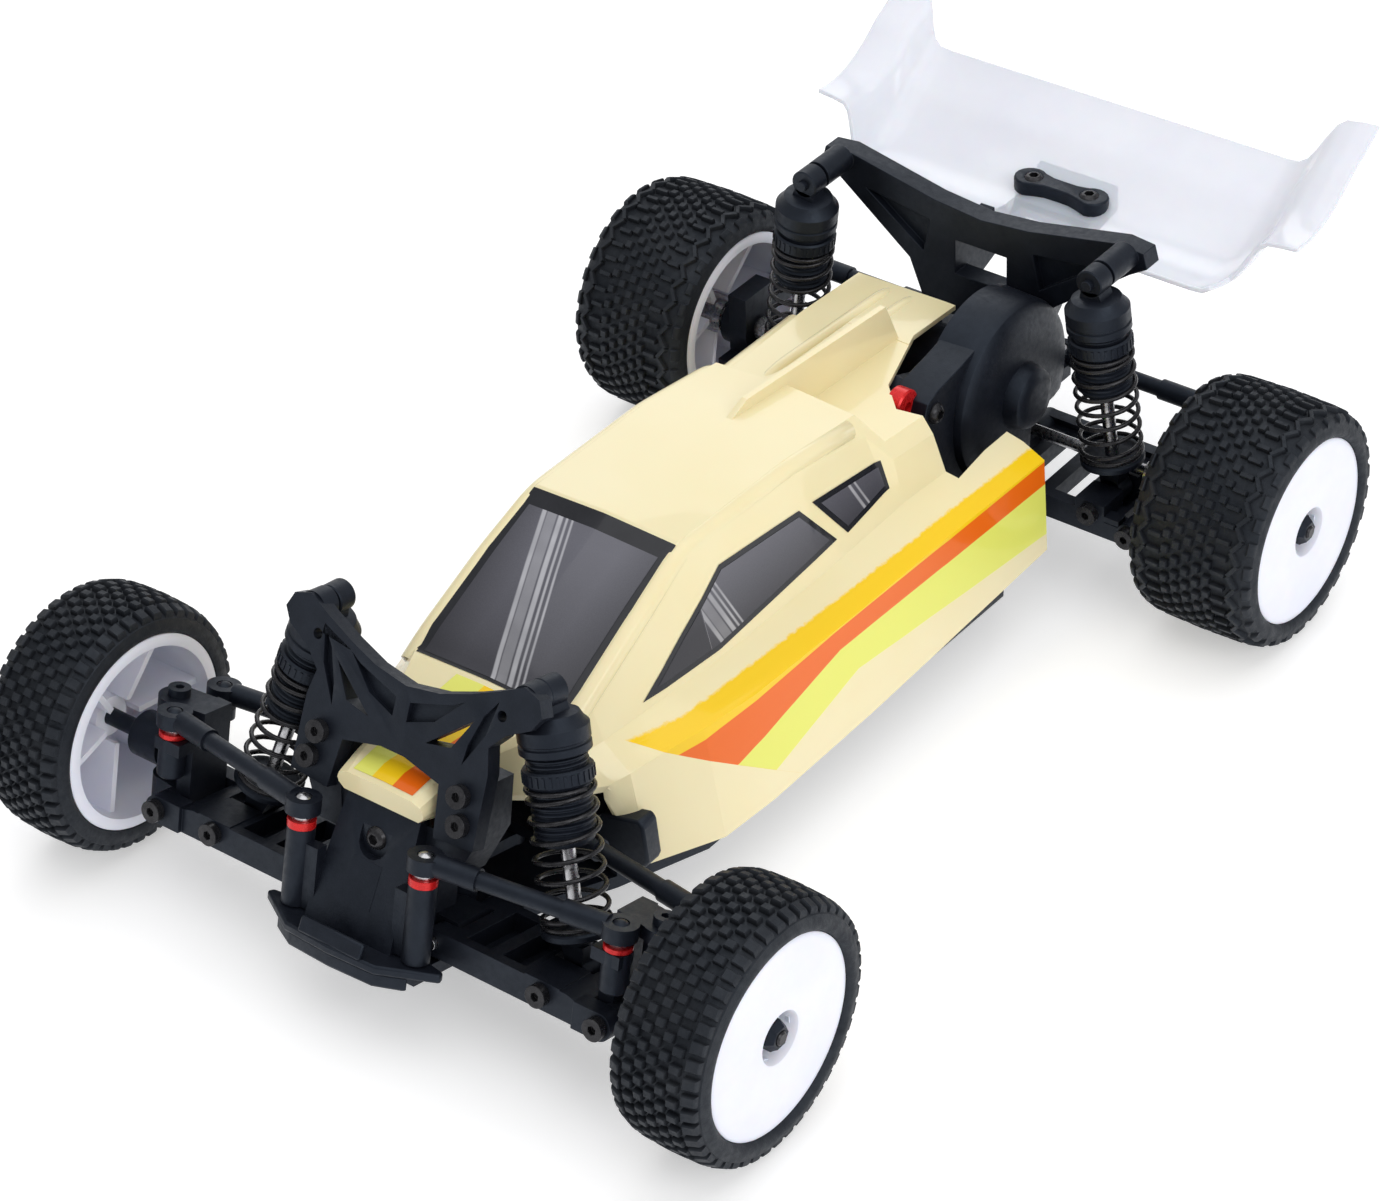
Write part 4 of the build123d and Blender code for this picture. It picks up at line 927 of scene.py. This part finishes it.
def windows(shell):
    tree = surface_of(shell)

    def from_front(x, y):
        return at(x, y, 90), Vector((0, 0, -1))

    screen = [(-15.5, -55.2), (15.5, -55.2), (14.5, -24.0), (-14.5, -24.0)]
    sticker_and_glare_area = [(-13.7, -54.5), (14.0, -54.5), (13.2, -27.0), (-13.2, -27.0)]
    decal("windshield_frame", screen, from_front, tree, "window_frame", 0.10)
    # this decal's material holds the painted reflection and painted glare of the windshield
    decal("windshield_sticker_and_glare", sticker_and_glare_area, from_front, tree, "window_with_painted_glare", 0.16)
    side_window = [(-41.0, 38.6), (-17.5, 50.6), (3.6, 49.0), (10.6, 40.0), (-22.0, 37.9)]
    quarter = [(7.2, 48.6), (26.4, 46.0), (26.4, 41.0), (13.6, 39.6)]
    for side_name, side in SIDES:
        def from_side(y, z, side=side):
            return at(side * 70, y, z), Vector((-side, 0, 0))
        for name, outline in (("side_window", side_window), ("quarter_window", quarter)):
            decal(f"{name}_frame_{side_name}", outline, from_side, tree, "window_frame", 0.10)
            # the inner decal's material holds the painted reflection and painted glare of the side windows
            decal(f"{name}_sticker_and_glare_{side_name}", shrunk(outline, 0.95), from_side, tree, "window_with_painted_glare", 0.16)
    nose = [(-6.0, -81.0), (6.0, -81.0), (6.8, -70.0), (8.4, -56.4), (-5.3, -56.4), (-5.6, -70.0)]
    decal("nose_patch", nose, from_front, tree, "patch_paint", 0.10, 1.0)


# ---- the other CAD nodes

def fastener_kind(rank, low, high):
    """Black for the screws on the tower, red for the flat washers, and steel for the rest."""
    size = high - low
    flat = size.z < 2.9 * MM and size.x > 4.5 * MM and size.y < 5.5 * MM
    ring = size.x < 1.3 * MM and size.y > 4.6 * MM
    on_tower = low.z > 34 * MM and high.y < FRONT_HUB.y + 15 * MM
    return 2 if on_tower else 1 if flat or ring else 0


def tower_frame():
    return front_frame() @ Matrix.Translation(Vector(TOWER_AT) * MM) @ Matrix.Rotation(-TOWER_LEAN, 4, "X")


def tower_pockets():
    """The shallow recesses in the front tower's face, and their frame."""
    cutters = []
    for side in (1, -1):
        for outline in ([(17.6, 19.6), (16.4, 13.6), (13.2, 7.6), (13.6, 11.0), (15.4, 16.4)],
                        [(1.4, 13.4), (9.4, 16.0), (11.4, 17.2), (6.6, 12.2), (1.4, 10.2)]):
            cutters.append(([(side * x, z) for x, z in outline], "y", -1.0, 1.1))
    return cutters, tower_frame()


def turned_piece(name, body, materials, place, rings, angle=30):
    """A turned piece: each ring is a closed outline of (x, radius) points with a material index."""
    bm = bmesh.new()
    for outline, index in rings:
        lathe(bm, outline, 40, index)
    settle(bm, place)
    obj = new_object(name, bm, materials, angle)
    attach(obj, body)


def button_screw(name, body, place):
    """A domed socket screw whose head rises along x from the place's origin."""
    bm = bmesh.new()
    head = [(-0.3, 1.9), (0.35, 1.95), (0.85, 1.7), (1.2, 1.25), (1.25, 1.0)]
    socket = [(1.25, 0.95), (0.45, 0.95), (0.35, 0.01)]
    steps = 36
    rings = []
    for x, r in head + socket:
        ring = []
        for k in range(steps):
            a = 2 * math.pi * k / steps
            six = math.cos(math.pi / 6) / math.cos((a % (math.pi / 3)) - math.pi / 6)
            reach = r * six if r == 0.95 else r
            ring.append(bm.verts.new(Vector((x, reach * math.cos(a), reach * math.sin(a))) * MM))
        rings.append(ring)
    for one, two in zip(rings, rings[1:]):
        bridge(bm, one, two)
    bm.faces.new(rings[0])
    bm.faces.new(rings[-1])
    settle(bm, place)
    obj = new_object(name, bm, ["black_steel"], 28)
    attach(obj, body)


def small_fittings():
    """Washers, collars and screws that the CAD nodes leave out."""
    for side_name, side in SIDES:
        place = front_frame() @ shift(side * 45.8, -5.5, 0) @ UPRIGHT
        turned_piece(f"camber_post_{side_name}", f"front_caster_block_{side_name}",
                     ["black_nylon", "red_anodised", "steel"], place,
                     [([(-1.6, 0.05), (-1.6, 1.9), (-1.2, 2.3), (5.5, 2.3), (5.6, 2.1), (5.6, 0.05)], 0),
                      ([(5.6, 0.9), (5.6, 2.2), (5.75, 2.35), (6.5, 2.35), (6.6, 2.2), (6.6, 0.9)], 1),
                      ([(6.6, 0.9), (6.6, 1.6), (7.1, 1.6), (7.1, 0.9)], 2)])
    ramp_screw = front_frame() @ shift(0, -7.9, 6.6) @ FACING_FRONT
    button_screw("bulkhead_screw", "root", ramp_screw)
    ramp_side = [(-12.1, -3.9), (-9.85, 3.1), (-6.0, 3.1), (-6.0, -3.9)]
    ramp = block("bulkhead_ramp", ramp_side, "x", -2.9, 2.9, front_frame())
    attach(ramp, "root")


def pod_guards():
    """The black walls that close the front ends of the two side pods."""
    for side_name, side in SIDES:
        wall = [(19.6, 14.6), (28.6, 17.0), (29.2, 18.4), (28.6, 25.2), (27.8, 26.2), (20.0, 24.2),
                (18.8, 22.6), (18.6, 15.6)]
        outline = [(side * x, z) for x, z in wall]
        obj = block(f"pod_guard_{side_name}", outline, "y", -53.4, -49.6, FROM_MIDDLE)
        rounded(obj, 0.5)
        attach(obj, "root")


def wing():
    """The clear wing: one curved sheet whose ends turn up, a little behind its leading edge."""
    columns = [(0, 0), (8, 0), (16, 0), (24, 0), (31, 0), (36.4, 0), (38.8, 0.15), (40.2, 1.0), (41.4, 2.8),
               (42.6, 5.2), (43.8, 7.2), (45.4, 8.3), (48.4, 8.7), (51.5, 8.9)]
    columns = [(-x, rise) for x, rise in reversed(columns) if x] + columns
    rows = 20
    first_plate_row = 4
    bm = bmesh.new()
    grid = []
    for x, rise in columns:
        low = 95.6 + 4.0 * rise / 8.9
        high = 128.3 + 5.4 * rise / 8.9
        line = []
        for k in range(rows + 1):
            t = k / rows
            camber = 2.6 * math.sin(math.pi * min(t / 0.75, 1.0))
            z = 50.3 + rise - camber + 9.7 * t ** 2.6
            line.append(bm.verts.new(at(x, low + (high - low) * t, z)))
        grid.append((rise, line))
    for (rise_a, a), (rise_b, b) in zip(grid, grid[1:]):
        start = first_plate_row if max(rise_a, rise_b) > 1 else 0
        for k in range(start, rows):
            bm.faces.new((a[k], b[k], b[k + 1], a[k + 1]))
    bmesh.ops.delete(bm, geom=[v for v in bm.verts if not v.link_faces], context="VERTS")
    bmesh.ops.recalc_face_normals(bm, faces=bm.faces)
    if sum(face.normal.z for face in bm.faces) < 0:
        bmesh.ops.reverse_faces(bm, faces=bm.faces)
    obj = new_object("wing_sheet", bm, ["wing_plastic"], 60)
    sheet = obj.modifiers.new("sheet", "SOLIDIFY")
    sheet.thickness = 0.9 * MM
    sheet.offset = -1
    rounded(obj, 0.25)
    attach(obj, "root", "wing")


def wing_clamp():
    """The wing's clamp: a bar with a narrow waist, round ends and two screws sunk into it."""
    low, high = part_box("wing_clamp")
    foot, top = low.z / MM, high.z / MM
    half = [(0, 1.75), (2.6, 1.8), (4.6, 2.3)]
    angles = [math.radians(degrees) for degrees in range(-20, 181, 20)]
    half += [(6.6 + 3.2 * math.sin(a), 3.0 * math.cos(a)) for a in angles]
    half += [(4.6, -2.3), (2.6, -1.8), (0, -1.75)]
    plan = mirrored(half)
    outline = [(x, 110.5 + y) for x, y in plan]
    obj = block("wing_clamp_finished", outline, "z", foot, top - 0.4, FROM_MIDDLE)
    holes = [(circle(side * 6.0, 110.5, 1.7), "z", top - 1.1, top + 2) for side in (1, -1)]
    carved(obj, holes, FROM_MIDDLE)
    rounded(obj, 0.45)
    attach(obj, "root", "wing_clamp")
    for side_name, side in SIDES:
        button_screw(f"wing_screw_{side_name}", "root",
                     Matrix.Translation(at(side * 6.0, 110.5, top - 1.3)) @ UPRIGHT)


def stadium(half_width, low, high, steps=8):
    """A slot's outline with round ends: (x, z) points."""
    points = []
    for centre, start in ((high - half_width, 0), (low + half_width, math.pi)):
        for i in range(steps + 1):
            a = start + math.pi * i / steps
            points.append((half_width * math.cos(a), centre + half_width * math.sin(a)))
    return points


def bumper():
    """The front bumper: a flat skid plate with a chamfered skid under it and a short upright lip."""
    bm = bmesh.new()
    plate = mirrored([(0, -10.0), (14.4, -10.2), (17.6, -10.8), (18.0, -12.0), (9.2, -17.6), (0, -18.2)])
    prism(bm, plate, "z", -10.4, -8.8)
    skid = mirrored([(0, -14.3), (13.6, -14.3), (8.6, -17.1), (0, -17.6)])
    prism(bm, skid, "z", -12.9, -10.35)
    prism(bm, [(-18.1, -9.0), (-16.9, -9.0), (-16.2, -6.6), (-17.2, -6.4)], "x", -6.4, 6.4)
    settle(bm, front_frame())
    obj = new_object("front_bumper_finished", bm, ["black_nylon"], 30)
    rounded(obj, 0.4)
    attach(obj, "root", "front_bumper")


def gear_cover():
    """The moulded cover over the spur gear: a round drum with a lobe towards the motor pinion."""
    y, z = TOP_SHAFT
    shaft = shift(0, y, z)
    bm = bmesh.new()
    drum = [(8.2, 13.3), (17.0, 13.3), (17.0, 3.6), (18.7, 3.6), (18.5, 9.0), (18.2, 13.0), (17.7, 15.3),
            (16.9, 16.6), (15.6, 17.1), (8.2, 17.3)]
    lathe(bm, drum, 72)
    lathe(bm, [(18.3, 0.05), (18.3, 6.2), (20.0, 6.0), (21.2, 5.5), (21.9, 4.5), (22.1, 3.0), (22.1, 0.05)],
          48)
    bm.transform(shaft)
    settle(bm, rear_frame())
    obj = new_object("gear_cover_drum", bm, ["black_nylon"], 40)
    open_front = [(-4.6, -6.0), (12.0, -6.0), (12.0, 6.2), (-4.6, 6.2)]
    below = [(-60, -30), (20, -30), (20, -1.6), (-60, -1.6)]
    carved(obj, [(open_front, "x", 8, 24)], rear_frame())
    carved(obj, [(below, "x", 8, 24)], rear_frame())
    rounded(obj, 0.4)
    attach(obj, "root", "gear_cover")
    lobe = [(-16.0, 27.0), (-23.0, 25.6), (-29.6, 24.6), (-32.6, 23.4), (-33.6, 21.0), (-33.8, 16.0),
            (-31.0, 7.0), (-27.0, -1.0), (-17.0, -3.2), (-14.0, 4.0)]
    obj = block("gear_cover_lobe", lobe, "x", 8.4, 15.6, rear_frame(), 40)
    carved(obj, [(circle(y, z, 13.3), "x", 6, 18)], rear_frame())
    carved(obj, [(circle(*MOTOR, 6.8), "x", 6, 14.6)], rear_frame())
    rounded(obj, 1.2)
    attach(obj, "root")
    button_screw("gear_cover_screw", "root", rear_frame() @ shift(15.6, -30.6, 20.6))
    turned_piece("gear_cover_ring", "root", ["red_anodised"],
                 rear_frame() @ shift(0, -34.2, 22.6),
                 [([(9.6, 1.0), (9.6, 2.9), (9.9, 3.2), (12.3, 3.2), (12.6, 2.9), (12.6, 1.0)], 0)])


def finish_cad_nodes():
    moulded("front_shock_tower", ["black_nylon"], bevel=0.35, pockets=tower_pockets())
    slot = [(stadium(2.9, 3.4, 13.0), "y", -20, -8.2)]
    moulded("front_bulkhead", ["black_nylon"], bevel=0.35, pockets=(slot, front_frame()))
    bumper()
    gear_cover()
    for name in ("chassis_tub", "gearbox_case", "rear_shock_tower", "servo_saver", "idler_arm",
                 "steering_link"):
        moulded(name, ["black_nylon"])
    moulded("servo_and_receiver", ["black_nylon"], bevel=0.4)
    moulded("battery", ["battery_wrap"], bevel=1.6)
    moulded("motor", ["steel"], bevel=0.3)
    moulded("chassis_fasteners", ["steel", "red_anodised", "black_steel"], fastener_kind, bevel=0.1)
    wing()
    wing_clamp()
    pod_guards()
    moulded("differential", ["gear_nylon"], bevel=0.06)
    moulded("spur_gear", ["gear_nylon"], bevel=0.06)
    moulded("motor_pinion", ["steel"], bevel=0.06)
    for side_name, _ in SIDES:
        for name in ("front_arm", "rear_arm", "front_caster_block"):
            moulded(f"{name}_{side_name}", ["black_nylon", "black_steel"], largest_first,
                    bevel=0.22)
        for name in ("front_knuckle", "front_camber_link", "front_tie_rod", "rear_hub_carrier",
                     "rear_camber_link"):
            moulded(f"{name}_{side_name}", ["black_nylon"], bevel=0.2)
        for name in ("rear_driveshaft_joint", "rear_driveshaft"):
            moulded(f"{name}_{side_name}", ["steel"], bevel=0.05)


# ---- stage, light and camera

def build_camera():
    turn, rise, roll = (math.radians(a) for a in CAMERA_TURN)
    back = Vector((math.sin(turn) * math.cos(rise), -math.cos(turn) * math.cos(rise), math.sin(rise)))
    right = Vector((math.cos(turn), math.sin(turn), 0))
    up = back.cross(right)
    rolled_right = math.cos(roll) * right + math.sin(roll) * up
    rolled_up = -math.sin(roll) * right + math.cos(roll) * up
    data = bpy.data.cameras.new("camera")
    data.lens = LENS
    data.sensor_width = SENSOR
    data.sensor_fit = "HORIZONTAL"
    data.clip_start = 0.01
    camera = bpy.data.objects.new("camera", data)
    turned = Matrix((rolled_right, rolled_up, back)).transposed().to_4x4()
    camera.matrix_world = Matrix.Translation(at(*CAMERA_AT)) @ turned
    bpy.context.scene.collection.objects.link(camera)
    bpy.context.scene.camera = camera


def area_light(name, place, target, size, power, color=(1, 1, 1)):
    data = bpy.data.lights.new(name, "AREA")
    data.shape = "RECTANGLE"
    data.size, data.size_y = size
    data.energy = power
    data.color = color
    light = bpy.data.objects.new(name, data)
    light.location = place
    light.rotation_euler = (Vector(target) - Vector(place)).to_track_quat("-Z", "Y").to_euler()
    bpy.context.scene.collection.objects.link(light)


def build_stage():
    bm = bmesh.new()
    reach = 6.0
    bm.faces.new([bm.verts.new((x * reach, y * reach, 0)) for x, y in ((-1, -1), (1, -1), (1, 1), (-1, 1))])
    MATERIALS["floor"] = plain_material("floor", (0.78, 0.78, 0.785), 0.6, Emission_Color=(1, 1, 1, 1),
                                        Emission_Strength=0.42)
    floor = new_object("floor", bm, ["floor"])
    world = bpy.data.worlds.new("studio")
    world.use_nodes = True
    world.node_tree.nodes["Background"].inputs[0].default_value = (1, 1, 1, 1)
    world.node_tree.nodes["Background"].inputs[1].default_value = 0.52
    bpy.context.scene.world = world
    area_light("top_softbox", (0.05, 0.0, 0.9), (0, 0, 0), (1.1, 1.1), 3.6)
    area_light("left_softbox", (0.85, -0.25, 0.55), (0, 0, 0.03), (0.7, 0.5), 3.4)
    area_light("back_softbox", (-0.6, 0.75, 0.6), (0, 0, 0.03), (0.8, 0.5), 1.8)
    scene = bpy.context.scene
    scene.view_settings.view_transform = "Standard"


def main():
    finish_cad_nodes()
    for side_name, side in SIDES:
        for end in ("front", "rear"):
            tyre(end, side_name, side)
            rim(end, side_name, side)
            shock_barrel(end, side_name)
            shock_shaft(end, side_name)
            coil_spring(end, side_name)
    small_fittings()
    shell = shell_piece()
    windows(shell)
    shell_beads()
    build_stage()
    build_camera()


main()
